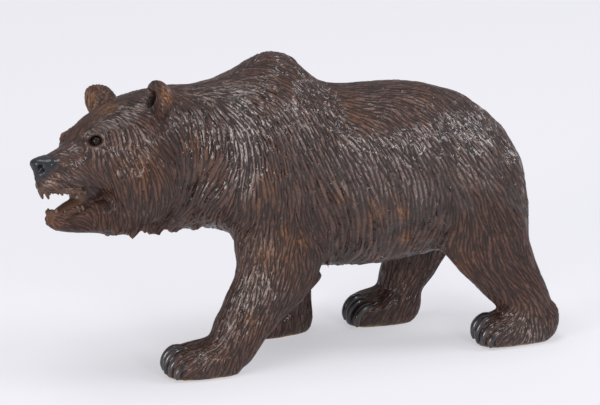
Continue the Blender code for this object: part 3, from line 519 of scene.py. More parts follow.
# Colours of the wood
STAIN_DARK = (0.060, 0.0265, 0.018)
STAIN_LIGHT = (0.100, 0.043, 0.028)
STAIN_WARM = (0.150, 0.050, 0.013)
STAIN_DEEP = (0.044, 0.019, 0.014)
RUBBED_BROWN = (0.21, 0.132, 0.095)
# Painted sheen: the pale colour laid on lit ridges
PAINTED_SHEEN_PALE = (0.42, 0.365, 0.34)
# Painted shade in the cuts, together with the stain gathered there
CUT_STAIN_AND_SHADE = (0.009, 0.005, 0.004)
HAIR_DARK = (0.022, 0.010, 0.007)
WORN_ORANGE = (0.33, 0.125, 0.030)
FLESH_DARK = (0.034, 0.018, 0.012)
FLESH_LIGHT = (0.120, 0.064, 0.040)
# Painted shade: near black laid in eye sockets, deep in the mouth, in ear slits and on shaded spots
SHADE_BLACK = (0.008, 0.006, 0.006)
NOSE_BLACK = (0.011, 0.012, 0.016)
BARE_WOOD = (0.42, 0.28, 0.10)
CLAW_DARK = (0.013, 0.013, 0.017)
CLAW_WORN = (0.110, 0.062, 0.042)
TOOTH_DARK = (0.040, 0.020, 0.012)
TOOTH_LIGHT = (0.110, 0.055, 0.030)
TOOTH_ORANGE = (0.19, 0.085, 0.035)
GLASS_BLACK = (0.004, 0.003, 0.003)
GLASS_BROWN = (0.012, 0.006, 0.004)
# Hairs in a stroke: their pitch in metres, their length in pitches, how far apart two strokes' patterns
# are, and their relief, as strength and height in metres
HAIR_PITCH = 0.00042
HAIR_STRETCH = 9.0
HAIR_OFFSET = 50.0
HAIR_RELIEF = (0.42, 0.00024)

# Studio: the room's glow, and lamps with their place in metres towards the camera, to its right and up,
# width and height, power and colour. The one overhead has its place in the frame
ROOM_COLOUR = (0.92, 0.93, 1.0, 1)
ROOM_STRENGTH = 0.40
LAMPS = {
    "front_left": ((2.6, -2.0, -0.05), (0.95, 1.4), 55, (1, 0.98, 0.97)),
    "right": ((-0.2, 2.4, 2.0), (0.95, 1.2), 32, (0.95, 0.96, 1)),
    "front_right": ((2.9, 1.7, 0.6), (0.8, 0.6), 27, (1, 0.98, 0.97)),
}
OVERHEAD_LAMP = ((-0.4, -0.1, 2.7), (1.7, 0.9), 34, (0.97, 0.98, 1))
LAMP_AIM = (0, 0, 0.1)
FLOOR_HALF = 5.0
FLOOR_COLOUR = (0.38, 0.38, 0.395, 1)
FLOOR_GLOW = (0.965, 0.955, 1.0, 1)
FLOOR_GLOW_STRENGTH = 0.46


def view_axes():
    """The camera's right, up and back directions."""
    azimuth, elevation = math.radians(VIEW_AZIMUTH), math.radians(VIEW_ELEVATION)
    level = math.cos(elevation)
    back = Vector((math.sin(azimuth) * level, -math.cos(azimuth) * level, math.sin(elevation)))
    right = Vector((math.cos(azimuth), math.sin(azimuth), 0))
    return right, back.cross(right), back


RIGHT, UP, BACK = view_axes()


def turned(degrees, axis):
    """A turn about one of the axes."""
    return Matrix.Rotation(math.radians(degrees), 4, axis)


def head_frame():
    """The head's axes, forward, left and up, at the point between the ears."""
    facing = Matrix.Rotation(math.pi + math.radians(HEAD_TURN), 4, "Z")
    return Matrix.Translation(HEAD_AT) @ facing @ turned(HEAD_BOW, "Y") @ turned(HEAD_TILT, "X")


HEAD = head_frame()


def eye_frame(side):
    """An eye's axes at its middle, the first one looking out."""
    outward = Vector((EYE_OUTWARD[0], side * EYE_OUTWARD[1], EYE_OUTWARD[2])).normalized()
    across = Vector((0, 0, 1)).cross(outward).normalized()
    turn = Matrix((outward, across, outward.cross(across))).transposed().to_4x4()
    return HEAD @ Matrix.Translation((EYE_AT[0], side * EYE_AT[1], EYE_AT[2])) @ turn


def ear_frame(ear):
    """An ear's axes at its middle, the first one out of its hollow."""
    place = HEAD @ Matrix.Translation(ear["at"]) @ turned(-ear["side"] * ear["splay"], "X")
    return place @ turned(ear["side"] * ear["turn"], "Z") @ turned(-ear["lean"], "Y")


def paw_frame(paw):
    """A paw's axes, forward, left and up, at the middle of its sole."""
    heading = math.pi + paw["side"] * math.radians(paw["turn_in"])
    return Matrix.Translation((paw["x"], paw["side"] * PAW_SPREAD, 0)) @ Matrix.Rotation(heading, 4, "Z")


def claw_frames(paw):
    """Each claw's and toe's frame, at a pivot on the sole, with their size and how brown they are."""
    out = -paw["side"]
    for outward, back, heading, wide, high, brown in CLAWS:
        place = (0.5 * paw["length"] - CLAW_PIVOT - back, out * (outward + paw["claws_out"]), 0)
        yield paw_frame(paw) @ Matrix.Translation(place) @ turned(out * heading, "Z"), (1, wide, high), brown


def into_metres():
    """The move from the drawing to the frame: the left eye's ball sits in both."""
    low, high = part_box("eye_left")
    middle = (Vector(low) + Vector(high)) / 2
    drawn = eye_frame(1).translation
    return Matrix.Translation(middle - drawn * UNIT) @ Matrix.Scale(UNIT, 4)


INTO_METRES = into_metres()


def points_of(mesh):
    """The mesh's vertices as rows of x, y, z."""
    flat = np.empty(len(mesh.vertices) * 3)
    mesh.vertices.foreach_get("co", flat)
    return flat.reshape(-1, 3)


def normals_of(mesh):
    """The mesh's vertex normals as rows of x, y, z."""
    flat = np.empty(len(mesh.vertices) * 3)
    mesh.vertex_normals.foreach_get("vector", flat)
    return flat.reshape(-1, 3)


def set_points(mesh, points):
    """Moves the mesh's vertices to the rows."""
    mesh.vertices.foreach_set("co", np.ascontiguousarray(points).ravel())
    mesh.update()


def store(mesh, name, values, domain="POINT"):
    """Keeps a number or a direction for each vertex or face under the name."""
    if name in mesh.attributes:
        mesh.attributes.remove(mesh.attributes[name])
    kind, key = ("FLOAT_VECTOR", "vector") if np.ndim(values) == 2 else ("FLOAT", "value")
    layer = mesh.attributes.new(name, kind, domain)
    layer.data.foreach_set(key, np.ascontiguousarray(values, np.float32).ravel())


def new_object(name, data):
    """An object around a mesh, a camera or a lamp, in the scene."""
    made = bpy.data.objects.new(name, data)
    bpy.context.scene.collection.objects.link(made)
    return made


def mesh_of(stock, name):
    """The stock as a mesh. The stock goes."""
    mesh = bpy.data.meshes.new(name)
    stock.to_mesh(mesh)
    stock.free()
    return mesh


def tree_of(mesh):
    """A search tree of the mesh's faces."""
    stock = bmesh.new()
    stock.from_mesh(mesh)
    made = BVHTree.FromBMesh(stock)
    stock.free()
    return made


def applied(obj):
    """The object's mesh with its modifiers applied. The object goes."""
    graph = bpy.context.evaluated_depsgraph_get()
    mesh = bpy.data.meshes.new_from_object(obj.evaluated_get(graph))
    bpy.data.objects.remove(obj)
    return mesh


def fused(mesh, grain):
    """Overlapping shells as one skin of even grain."""
    obj = new_object("fused", mesh)
    remesh = obj.modifiers.new("one_skin", "REMESH")
    remesh.mode = "VOXEL"
    remesh.voxel_size = grain
    return applied(obj)


def smooth(mesh, rounds, share):
    """Draws each vertex towards its neighbours by its share, for some rounds."""
    points = points_of(mesh)
    count = len(points)
    ends = np.empty(len(mesh.edges) * 2, np.int32)
    mesh.edges.foreach_get("vertices", ends)
    a, b = ends.reshape(-1, 2).T
    around = np.bincount(a, minlength=count) + np.bincount(b, minlength=count)
    for _ in range(rounds):
        for k in range(3):
            column = points[:, k]
            total = np.bincount(a, column[b], count) + np.bincount(b, column[a], count)
            points[:, k] = column + share * (total / around - column)
    set_points(mesh, points)


def thinned(mesh, triangles):
    """The same skin in fewer triangles, most of them where it bends most."""
    now = sum(len(p.vertices) - 2 for p in mesh.polygons)
    obj = new_object("thinned", mesh)
    fewer = obj.modifiers.new("fewer", "DECIMATE")
    fewer.ratio = triangles / now
    fewer.use_collapse_triangulate = True
    return applied(obj)


def step(values, low, high):
    """A soft step from 0 at low to 1 at high."""
    t = np.clip((values - low) / (high - low), 0, 1)
    return t * t * (3 - 2 * t)


def local(points, place):
    """Rows of points in the axes of a frame."""
    inverse = np.array(place.inverted())
    return points @ inverse[:3, :3].T + inverse[:3, 3]


def form_frame(place, centre, turn):
    """The axes of a rounded form, tipped about the sideways axis."""
    return place @ Matrix.Translation(centre) @ turned(turn, "Y")


def reach_in(points, place, form):
    """How far out of a rounded form each point is: 0 at its middle and 1 on its surface."""
    centre, radii, turn = form
    return np.linalg.norm(local(points, form_frame(place, centre, turn)) / np.array(radii), axis=1)


def paired(form):
    """A rounded form of the head, once in the middle or once on each side."""
    (x, y, z), radii, turn = form
    for side in (-1, 1) if y else (1,):
        yield (x, side * y, z), radii, turn


def nearest_reach(points, form):
    """The reach of each point out of the nearer form of a pair on the head."""
    return np.minimum.reduce([reach_in(points, HEAD, one) for one in paired(form)])


def spline(keys, count):
    """Rows evenly spread along a smooth curve through the key rows."""
    keys = np.array(keys, float)
    padded = np.vstack([2 * keys[0] - keys[1], keys, 2 * keys[-1] - keys[-2]])
    rows = []
    for t in np.linspace(0, len(keys) - 1, count):
        i = min(int(t), len(keys) - 2)
        f = t - i
        a, b, c, d = padded[i:i + 4]
        second = 2 * a - 5 * b + 4 * c - d
        third = 3 * b - a - 3 * c + d
        rows.append(0.5 * (2 * b + (c - a) * f + second * f * f + third * f ** 3))
    return np.array(rows)


def rounded_ring(half_width, up, down, sides, fullness):
    """Points (across, up) of a rounded section, fuller than an ellipse where fullness is over 2."""
    ring = []
    for i in range(sides):
        turn = 2 * math.pi * i / sides
        c, s = math.cos(turn), math.sin(turn)
        across = math.copysign(abs(c) ** (2 / fullness), c) * half_width
        height = math.copysign(abs(s) ** (2 / fullness), s) * (up if s > 0 else down)
        ring.append((across, height))
    return ring


def circle(radius, sides):
    """Points (across, up) of a round section."""
    return rounded_ring(radius, radius, radius, sides, 2)


def add_walls(stock, rows):
    """Faces between each ring of vertices and the next."""
    made = []
    for near, far in zip(rows, rows[1:]):
        for i in range(len(near)):
            j = (i + 1) % len(near)
            made.append(stock.faces.new((near[i], near[j], far[j], far[i])))
    return made


def add_loft(stock, rings):
    """A closed tube through rings of points, with a fan of faces over each end."""
    rows = [[stock.verts.new(p) for p in ring] for ring in rings]
    made = add_walls(stock, rows)
    for row in (rows[0], rows[-1]):
        middle = stock.verts.new(sum((v.co for v in row), Vector()) / len(row))
        for i in range(len(row)):
            made.append(stock.faces.new((row[i], row[(i + 1) % len(row)], middle)))
    bmesh.ops.recalc_face_normals(stock, faces=made)


def add_upright_loft(stock, sections, place, fullness):
    """A loft with sections square to the frame's first axis: along, level, half width, up, down."""
    rings = []
    for along, level, half_width, up, down in sections:
        ring = rounded_ring(half_width, up, down, LOFT_SIDES, fullness)
        rings.append([place @ Vector((along, y, level + z)) for y, z in ring])
    add_loft(stock, rings)


def add_ball(stock, place, centre, radii, turn, segments=28):
    """An ellipsoid, tipped about the frame's sideways axis by so many degrees."""
    matrix = form_frame(place, centre, turn) @ Matrix.Diagonal((*radii, 1))
    rings = segments // 2 + 2
    bmesh.ops.create_uvsphere(stock, u_segments=segments, v_segments=rings, radius=1, matrix=matrix)


def head_sections(keys, count):
    """Sections along the head from the muzzle's start on, the first one drawn in."""
    rows = [row for row in spline(keys, count) if row[0] >= MUZZLE_FROM]
    sections = []
    for i, (forward, top, bottom, wide) in enumerate(rows):
        size = FIRST_SECTION if i == 0 else 1.0
        half = 0.5 * (top - bottom) * size
        sections.append((forward, 0.5 * (top + bottom), wide * size, half, half))
    return sections


def gum_paths():
    """The ridge that carries each row of teeth, on both sides: forward, across, level and half thickness."""
    of_root, of_tip = GUM_LEVEL
    for keys in (UPPER_ROW, LOWER_ROW):
        for side in (-1, 1):
            yield [(f, side * y, of_root * root + of_tip * tip, GUM) for f, y, root, tip, _ in keys]


def add_face(stock):
    """The crisp forms of the face: muzzle, jaw, nose, lips, tongue, brows, chin, lids and gums."""
    for keys, count, fullness in FACE_LOFTS:
        add_upright_loft(stock, head_sections(keys, count), HEAD, fullness)
    for form in FACE_FORMS:
        for one in paired(form):
            add_ball(stock, HEAD, *one)
    for side in (-1, 1):
        add_lids(stock, side)
        size, drop = (1.0, 0.0) if side > 0 else FAR_FOLD
        add_cord(stock, [(f, side * y * size, z - drop, half * size) for f, y, z, half in BROW_FOLD])
    for path in gum_paths():
        add_cord(stock, path)


def add_cord(stock, keys):
    """A rounded fold through places of the head, each with its half thickness."""
    path = spline(keys, 5 * len(keys))
    ways = np.gradient(path[:, :3], axis=0)
    rings = []
    for (x, y, z, half), way in zip(path, ways):
        turn = Vector(way).to_track_quat("X", "Z").to_matrix()
        rings.append([HEAD @ (Vector((x, y, z)) + turn @ Vector((0, a, b))) for a, b in circle(half, 12)])
    add_loft(stock, rings)


def add_lids(stock, side, steps=28, sides=10):
    """A raised oval rim round the eye."""
    place = eye_frame(side)
    level, half_length, half_height = LID_RING
    rows = []
    for i in range(steps):
        turn = 2 * math.pi * i / steps
        c, s = math.cos(turn), math.sin(turn)
        ring = []
        for across, out in rounded_ring(*LID_THICKNESS, sides, 2):
            point = (level + out, c * (half_length + across), s * (half_height + across))
            ring.append(stock.verts.new(place @ Vector(point)))
        rows.append(ring)
    bmesh.ops.recalc_face_normals(stock, faces=add_walls(stock, rows + rows[:1]))


def add_ear(stock, ear):
    """A cupped ear with a thick rim, hollow towards the front."""
    shell = bmesh.new()
    bmesh.ops.create_uvsphere(shell, u_segments=40, v_segments=30, radius=1)
    for v in shell.verts:
        reach = min(1.0, math.hypot(v.co.y, v.co.z))
        hollow = EAR_CUP * max(0.0, 1 - (reach / EAR_CUP_REACH) ** 2) if v.co.x > 0 else 0
        depth = v.co.x * (EAR_FRONT if v.co.x > 0 else ear["behind"]) - hollow
        v.co = Vector((depth, v.co.y * ear["wide"], v.co.z * EAR_HEIGHT))
    shell.transform(ear_frame(ear))
    stock.from_mesh(mesh_of(shell, "ear"))


def add_paw(stock, paw):
    """A paw from heel to front, with a toe behind each claw."""
    rows = spline(HIND_PAW if paw["hind"] else FRONT_PAW, 20)
    length = paw["length"]
    sections = [((share - 0.5) * length, level, wide, up, down) for share, level, wide, up, down in rows]
    add_upright_loft(stock, sections, paw_frame(paw), PAW_FULLNESS)
    for place, size, _ in claw_frames(paw):
        add_ball(stock, place @ Matrix.Diagonal((*size, 1)), *TOE, segments=20)


def frame_point(column, row):
    """The point of the drawing at a place in the camera's frame, at no depth."""
    return RIGHT * ((column - FRAME_SIZE[0] / 2) * PIXEL) + UP * ((SOLE_ROW - row) * PIXEL)


def cast(skin, column, row):
    """The point and normal of the skin under a place in the camera's frame, or None."""
    point, normal = skin.ray_cast(frame_point(column, row) + BACK * CLEAR_OF_ALL, -BACK)[:2]
    return (point, normal) if point else None


def add_hanging_locks(stock, skin):
    """Pointed locks down to their tips at the lower edges of the fur."""
    for column, row, half in HANGING_LOCKS:
        found = cast(skin, column + LOCK_ROOT[0], row + LOCK_ROOT[1])
        if not found:
            continue
        root = found[0] - BACK * half
        tip = frame_point(column, row) + BACK * root.dot(BACK)
        rings = []
        for t in LOCK_STEPS:
            size = half * (1 - LOCK_TAPER * max(t, 0) ** 1.2)
            middle = root.lerp(tip, t)
            rings.append([middle + Vector((a, b, 0)) for a, b in circle(size, 12)])
        add_loft(stock, rings)


def packed_masses():
    """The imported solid's skin in the drawing, its facets and finest locks smoothed away."""
    stock = bmesh.new()
    stock.from_mesh(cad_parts["bear"].data)
    bmesh.ops.remove_doubles(stock, verts=stock.verts, dist=SAME_PLACE)
    stock.transform(INTO_METRES.inverted())
    mesh = fused(mesh_of(stock, "packed"), ROUGH_GRAIN)
    points = points_of(mesh)
    less, start, end = SMOOTH_LESS_AHEAD
    share = SMOOTH_SHARE - less * step(local(points, HEAD)[:, 0], start, end)
    least, start, end = SMOOTH_AT_GROUND
    share *= step(points[:, 2], start, end) * (1 - least) + least
    smooth(mesh, SMOOTH_ROUNDS, share)
    set_points(mesh, points_of(mesh) + SWELL * normals_of(mesh))
    return mesh


def formed_skin():
    """The masses with face, ears, paws and hanging locks set on, as one skin."""
    masses = packed_masses()
    stock = bmesh.new()
    add_face(stock)
    for ear in EARS:
        add_ear(stock, ear)
    for paw in PAWS:
        add_paw(stock, paw)
    add_hanging_locks(stock, tree_of(masses))
    stock.from_mesh(masses)
    mesh = fused(mesh_of(stock, "formed"), FORM_GRAIN)
    smooth(mesh, 2, 0.5)
    return mesh


def press(points, place, form, way):
    """Pushes what lies inside a rounded form along the way until it meets the form's far wall."""
    centre, radii, turn = form
    inner = form_frame(place, centre, turn)
    rows = local(points, inner) / np.array(radii)
    heading = np.array(inner.to_3x3().inverted() @ Vector(way)) / np.array(radii)
    inside = (rows ** 2).sum(1) < 1
    near = rows[inside]
    a = heading @ heading
    b = near @ heading
    c = (near ** 2).sum(1) - 1
    points[inside] += np.array(way) * ((-b + np.sqrt(b * b - a * c)) / a)[:, None]


def ear_slit(ear):
    """The tilted frame of an ear and the deep slit in it."""
    (x, y, z), (wide, high) = EAR_SLIT
    place = ear_frame(ear) @ turned(ear["side"] * EAR_SLIT_TILT, "X")
    return place, ((x, ear["side"] * y, z), (ear["slit"], wide, high), 0)


def inward(place):
    """The way into the skin along a frame's first axis."""
    return -(place.to_3x3() @ Vector((1, 0, 0)))


def press_hollows(mesh):
    """Eye sockets, nostrils and the hollows of the ears."""
    points = points_of(mesh)
    radius = EYE_DIAMETER / UNIT / 2 + SOCKET_GAP
    (x, y, z), radii, turn = NOSTRIL
    back, across, up = NOSTRIL_WAY
    for side in (-1, 1):
        place = eye_frame(side)
        for hollow in (EYE_HOLLOW, ((0, 0, 0), (radius, radius, radius), 0)):
            press(points, place, hollow, inward(place))
        way = HEAD.to_3x3() @ Vector((back, side * across, up))
        press(points, HEAD, ((x, side * y, z), radii, turn), way)
    for ear in EARS:
        place, slit = ear_slit(ear)
        press(points, place, slit, inward(place))
    set_points(mesh, points)


def laid(seen, normal):
    """The direction on the skin that looks like the seen one from the camera."""
    way = seen - BACK * (seen.dot(normal) / max(LEAST_FACING, BACK.dot(normal)))
    return (way - normal * way.dot(normal)).normalized()


def mirrored(point, way, carried):
    """The point and direction on the far side of the head or of the body."""
    flip = Matrix.Diagonal((1, -1, 1, 1))
    if carried == "head":
        flip = HEAD @ flip @ HEAD.inverted()
    return flip @ point, flip.to_3x3() @ way


def seen_guides(skin):
    """Guides where the camera sees the strokes, and the same on the far side."""
    rows = []
    for strokes, carried, marks in SEEN_FUR.values():
        for column, row, angle in marks:
            found = cast(skin, column, row)
            if not found:
                continue
            point, normal = found
            turn = math.radians(angle)
            way = laid(RIGHT * math.cos(turn) - UP * math.sin(turn), normal)
            rows.append((*point, *way, *strokes))
            if carried != "none":
                point, way = mirrored(point, way, carried)
                rows.append((*point, *way, *strokes))
    return rows


def leg_guides():
    """Guides down each leg, all round it, and forward over each paw."""
    rows = []
    for side, keys in LEGS:
        path = spline(keys, 7)
        slopes = np.gradient(path[:, :3], axis=0)
        for (x, share, z, half_length, half_width), slope in zip(path, slopes):
            down = Vector((slope[0], 0, slope[2])).normalized()
            for fore, out in LEG_SPOTS:
                place = (x + fore * half_length, side * (share * PAW_SPREAD + out * half_width), z)
                rows.append((*place, *down, *LEG_STROKES))
    for paw in PAWS:
        for share, across in PAW_SPOTS:
            point = paw_frame(paw) @ Vector((share * paw["length"], across, PAW_TOP))
            rows.append((*point, *PAW_WAY, *PAW_STROKES))
    return rows


def fur_guides(skin):
    """Every guide: its place, its direction and the length, width, depth and polish of its strokes."""
    rows = seen_guides(skin) + leg_guides()
    for (x, y, z), (dx, dy, dz), strokes in HIDDEN_FUR:
        for side in (-1, 1):
            way = Vector((dx, side * dy, dz)).normalized()
            rows.append((x, side * y, z, *way, *strokes))
    return np.array(rows)


def fur_at(points, normals, guides):
    """The lie of the fur on the skin, and the strokes' length, width, depth and polish there."""
    lay = np.empty_like(points)
    sizes = np.empty((len(points), 4))
    places = guides[:, :3]
    for start in range(0, len(points), BATCH):
        rows = slice(start, start + BATCH)
        near = points[rows]
        apart = (near ** 2).sum(1)[:, None] + (places ** 2).sum(1) - 2 * near @ places.T
        weight = 1 / (apart + GUIDE_BLEND) ** 2
        mixed = weight @ guides[:, 3:] / weight.sum(1)[:, None]
        lay[rows] = mixed[:, :3]
        sizes[rows] = mixed[:, 3:]
    lay -= normals * (lay * normals).sum(1)[:, None]
    lay /= np.maximum(np.linalg.norm(lay, axis=1), 1e-6)[:, None]
    return lay, sizes


def spread(points, normals, lay, sizes):
    """Middles for the strokes, each clear of the others by a share of its length and width."""
    side = np.cross(normals, lay)
    cells = np.floor(points / CELL).astype(int)
    offsets = [(i, j, k) for i in (-1, 0, 1) for j in (-1, 0, 1) for k in (-1, 0, 1)]
    grid = {}
    kept = []
    for i in range(len(points)):
        x, y, z = cells[i]
        near = [n for a, b, c in offsets for n in grid.get((x + a, y + b, z + c), ())]
        if near:
            gap = points[near] - points[i]
            along = gap @ lay[i] / (STROKE_GAP[0] * sizes[i, 0])
            across = gap @ side[i] / (STROKE_GAP[1] * sizes[i, 1])
            above = gap @ normals[i] / sizes[i, 0]
            if np.min(along * along + across * across + above * above) < 1:
                continue
        kept.append(i)
        grid.setdefault((x, y, z), []).append(i)
    return np.array(kept)


def follow(points, skin, guides, stride, turns, steps):
    """Points reached by walking along the fur, each line at its own turn to the fur and its own bend."""
    walked = []
    for k in range(steps):
        found = [skin.find_nearest(p)[:2] for p in points]
        points = np.array([f[0] for f in found])
        normals = np.array([f[1] for f in found])
        lay = fur_at(points, normals, guides)[0]
        angle = (turns[0] + k * np.sign(stride) * turns[1])[:, None]
        lay = lay * np.cos(angle) + np.cross(normals, lay) * np.sin(angle)
        walked.append((points, normals, lay))
        points = points + lay * stride[:, None]
    return walked


def stroke_lines(mesh, skin, guides, generator):
    """The gouge's strokes as rows of points: place, sideways direction, depth, half width and tone."""
    tried = generator.permutation(len(mesh.vertices))[:MIDDLES_TRIED]
    points, normals = points_of(mesh)[tried], normals_of(mesh)[tried]
    lay, sizes = fur_at(points, normals, guides)
    kept = spread(points, normals, lay, sizes)
    count = len(kept)
    long, wide, deep = (sizes[kept, :3] * generator.uniform(*STROKE_VARIETY, (count, 3))).T
    stride = STROKE_REACH * long / STROKE_STEPS
    turns = generator.normal(0, (STROKE_TURN, STROKE_BEND), (count, 2)).T
    ahead = follow(points[kept], skin, guides, stride, turns, STROKE_STEPS + 1)
    behind = follow(points[kept], skin, guides, -stride, turns, STROKE_STEPS + 1)
    tone = generator.uniform(-1, 1, count)
    rows = []
    for i, (place, normal, way) in enumerate(behind[:0:-1] + ahead):
        share = (i + 0.5) / (2 * STROKE_STEPS + 1)
        depth = deep * math.sin(math.pi * share) ** 0.6
        rows.append((place, np.cross(normal, way), depth, wide * STROKE_HALF, tone))
    return {name: np.concatenate(values) for name, values in zip(LINE_VALUES, zip(*rows))}


def deep_lines(skin):
    """The V cuts between the big locks, as rows of points, on the near side and the far side."""
    rows = []
    marked = [("head", *line) for line in FACE_LINES] + [("body", *line) for line in DEEP_CUTS]
    for carried, half, depth, marks in marked:
        path = spline([(u, v, 0) for u, v in marks], 8 * len(marks))
        found = [cast(skin, u, v) for u, v, _ in path]
        found = [f for f in found if f]
        for i, (point, normal) in enumerate(found):
            ahead = found[min(i + 1, len(found) - 1)][0] - found[max(i - 1, 0)][0]
            share = (i + 0.5) / len(found)
            deep = depth * math.sin(math.pi * share) ** 0.5
            across = normal.cross(ahead).normalized()
            for place, side in ((point, across), mirrored(point, across, carried)):
                rows.append((tuple(place), tuple(side), deep, half, 0.0))
    return {name: np.array(values) for name, values in zip(LINE_VALUES, zip(*rows))}


def line_object(name, rows):
    """The rows of points as an object that a node tree can read."""
    mesh = bpy.data.meshes.new(name)
    mesh.from_pydata(rows["place"].tolist(), [], [])
    for key in LINE_VALUES[1:]:
        store(mesh, key, rows[key])
    return new_object(name, mesh)


def feed(tree, value, socket):
    """Sets a socket to a value, or joins it to another socket."""
    if isinstance(value, bpy.types.NodeSocket):
        tree.links.new(value, socket)
    else:
        socket.default_value = value


def math_node(tree, operation, *values):
    """A sum on numbers and sockets."""
    node = tree.nodes.new("ShaderNodeMath")
    node.operation = operation
    for value, socket in zip(values, node.inputs):
        feed(tree, value, socket)
    return node.outputs[0]


def vector_node(tree, operation, first, second=None):
    """A sum on one or two vectors, or on a vector and its scale."""
    node = tree.nodes.new("ShaderNodeVectorMath")
    node.operation = operation
    feed(tree, first, node.inputs[0])
    if second is not None:
        feed(tree, second, node.inputs["Scale" if operation == "SCALE" else 1])
    return node.outputs["Value" if operation in ("DOT_PRODUCT", "LENGTH") else "Vector"]


def read_attribute(tree, name, data_type="FLOAT"):
    """What is kept on the geometry under the name."""
    reader = tree.nodes.new("GeometryNodeInputNamedAttribute")
    reader.data_type = data_type
    reader.inputs["Name"].default_value = name
    return reader.outputs["Attribute"]


def sampled(tree, lines, index, data_type, source):
    """The source's value at the line point with the index."""
    node = tree.nodes.new("GeometryNodeSampleIndex")
    node.data_type = data_type
    for name, value in (("Geometry", lines), ("Value", source), ("Index", index)):
        tree.links.new(value, node.inputs[name])
    return node.outputs["Value"]


def stored(tree, geometry, name, value):
    """The geometry with the number kept under the name."""
    node = tree.nodes.new("GeometryNodeStoreNamedAttribute")
    node.data_type = "FLOAT"
    node.domain = "POINT"
    node.inputs["Name"].default_value = name
    tree.links.new(geometry, node.inputs["Geometry"])
    tree.links.new(value, node.inputs["Value"])
    return node.outputs["Geometry"]


def new_tree(name, inputs):
    """A node tree for geometry with named inputs of the given socket kinds."""
    tree = bpy.data.node_groups.new(name, "GeometryNodeTree")
    tree.interface.new_socket("Geometry", in_out="OUTPUT", socket_type="NodeSocketGeometry")
    tree.interface.new_socket("Geometry", in_out="INPUT", socket_type="NodeSocketGeometry")
    for label, kind in inputs:
        tree.interface.new_socket(label, in_out="INPUT", socket_type=kind)
    return tree, tree.nodes.new("NodeGroupInput"), tree.nodes.new("NodeGroupOutput")


def close_tree(tree, geometry, material, target):
    """Ends a tree in plain faces with their material."""
    realize = tree.nodes.new("GeometryNodeRealizeInstances")
    finish = tree.nodes.new("GeometryNodeSetMaterial")
    tree.links.new(geometry, realize.inputs["Geometry"])
    tree.links.new(realize.outputs["Geometry"], finish.inputs["Geometry"])
    tree.links.new(material, finish.inputs["Material"])
    tree.links.new(finish.outputs["Geometry"], target.inputs["Geometry"])


def object_given(tree, socket):
    """The geometry of an object that the tree is given."""
    info = tree.nodes.new("GeometryNodeObjectInfo")
    tree.links.new(socket, info.inputs["Object"])
    return info.outputs["Geometry"]


def cutting_tree():
    """Cuts a skin along lines: each point sinks by how near it is to the middle of its nearest line."""
    tree, given, target = new_tree("cut_along_lines", [
        ("Lines", "NodeSocketObject"), ("Roundness", "NodeSocketFloat"), ("Material", "NodeSocketMaterial"),
    ])
    lines = object_given(tree, given.outputs["Lines"])
    place = tree.nodes.new("GeometryNodeInputPosition").outputs[0]
    nearest = tree.nodes.new("GeometryNodeSampleNearest")
    nearest.domain = "POINT"
    tree.links.new(lines, nearest.inputs["Geometry"])
    tree.links.new(place, nearest.inputs["Sample Position"])
    index = nearest.outputs["Index"]
    gap = vector_node(tree, "SUBTRACT", place, sampled(tree, lines, index, "FLOAT_VECTOR", place))
    side = sampled(tree, lines, index, "FLOAT_VECTOR", read_attribute(tree, "side", "FLOAT_VECTOR"))
    half, deep, tone = (
        sampled(tree, lines, index, "FLOAT", read_attribute(tree, name)) for name in ("half", "depth", "tone")
    )
    off = math_node(tree, "DIVIDE", vector_node(tree, "DOT_PRODUCT", gap, side), half)
    off = math_node(tree, "POWER", math_node(tree, "ABSOLUTE", off), given.outputs["Roundness"])
    bowl = math_node(tree, "MAXIMUM", math_node(tree, "SUBTRACT", 1.0, off), 0.0)
    reach = math_node(tree, "MULTIPLY", half, CUT_REACH)
    reach = math_node(tree, "DIVIDE", vector_node(tree, "LENGTH", gap), reach)
    bowl = math_node(tree, "MULTIPLY", bowl, math_node(tree, "LESS_THAN", reach, 1.0))
    bowl = math_node(tree, "MULTIPLY", bowl, math_node(tree, "SUBTRACT", 1.0, read_attribute(tree, "plain")))
    sink = math_node(tree, "MULTIPLY", math_node(tree, "MULTIPLY", bowl, deep), -1.0)
    normal = tree.nodes.new("GeometryNodeInputNormal").outputs[0]
    kept = stored(tree, given.outputs["Geometry"], "groove", bowl)
    kept = stored(tree, kept, "tone", tone)
    move = tree.nodes.new("GeometryNodeSetPosition")
    tree.links.new(kept, move.inputs["Geometry"])
    tree.links.new(vector_node(tree, "SCALE", normal, sink), move.inputs["Offset"])
    close_tree(tree, move.outputs["Geometry"], given.outputs["Material"], target)
    return tree


def setting_tree():
    """Sets a shape on each point, turned and sized by the point's own values."""
    tree, given, target = new_tree("set_on_points", [
        ("Shape", "NodeSocketObject"), ("Material", "NodeSocketMaterial"),
    ])
    place = tree.nodes.new("GeometryNodeInstanceOnPoints")
    turn = tree.nodes.new("FunctionNodeEulerToRotation")
    tree.links.new(given.outputs["Geometry"], place.inputs["Points"])
    tree.links.new(object_given(tree, given.outputs["Shape"]), place.inputs["Instance"])
    tree.links.new(read_attribute(tree, "turn", "FLOAT_VECTOR"), turn.inputs[0])
    tree.links.new(turn.outputs[0], place.inputs["Rotation"])
    tree.links.new(read_attribute(tree, "size", "FLOAT_VECTOR"), place.inputs["Scale"])
    close_tree(tree, place.outputs["Instances"], given.outputs["Material"], target)
    return tree


def run_tree(mesh, tree, settings):
    """The mesh after the tree, with the tree's inputs set by their names."""
    obj = new_object("worked", mesh)
    modifier = obj.modifiers.new(tree.name, "NODES")
    modifier.node_group = tree
    for item in tree.interface.items_tree:
        if item.in_out == "INPUT" and item.name in settings:
            modifier[item.identifier] = settings[item.name]
    return applied(obj)


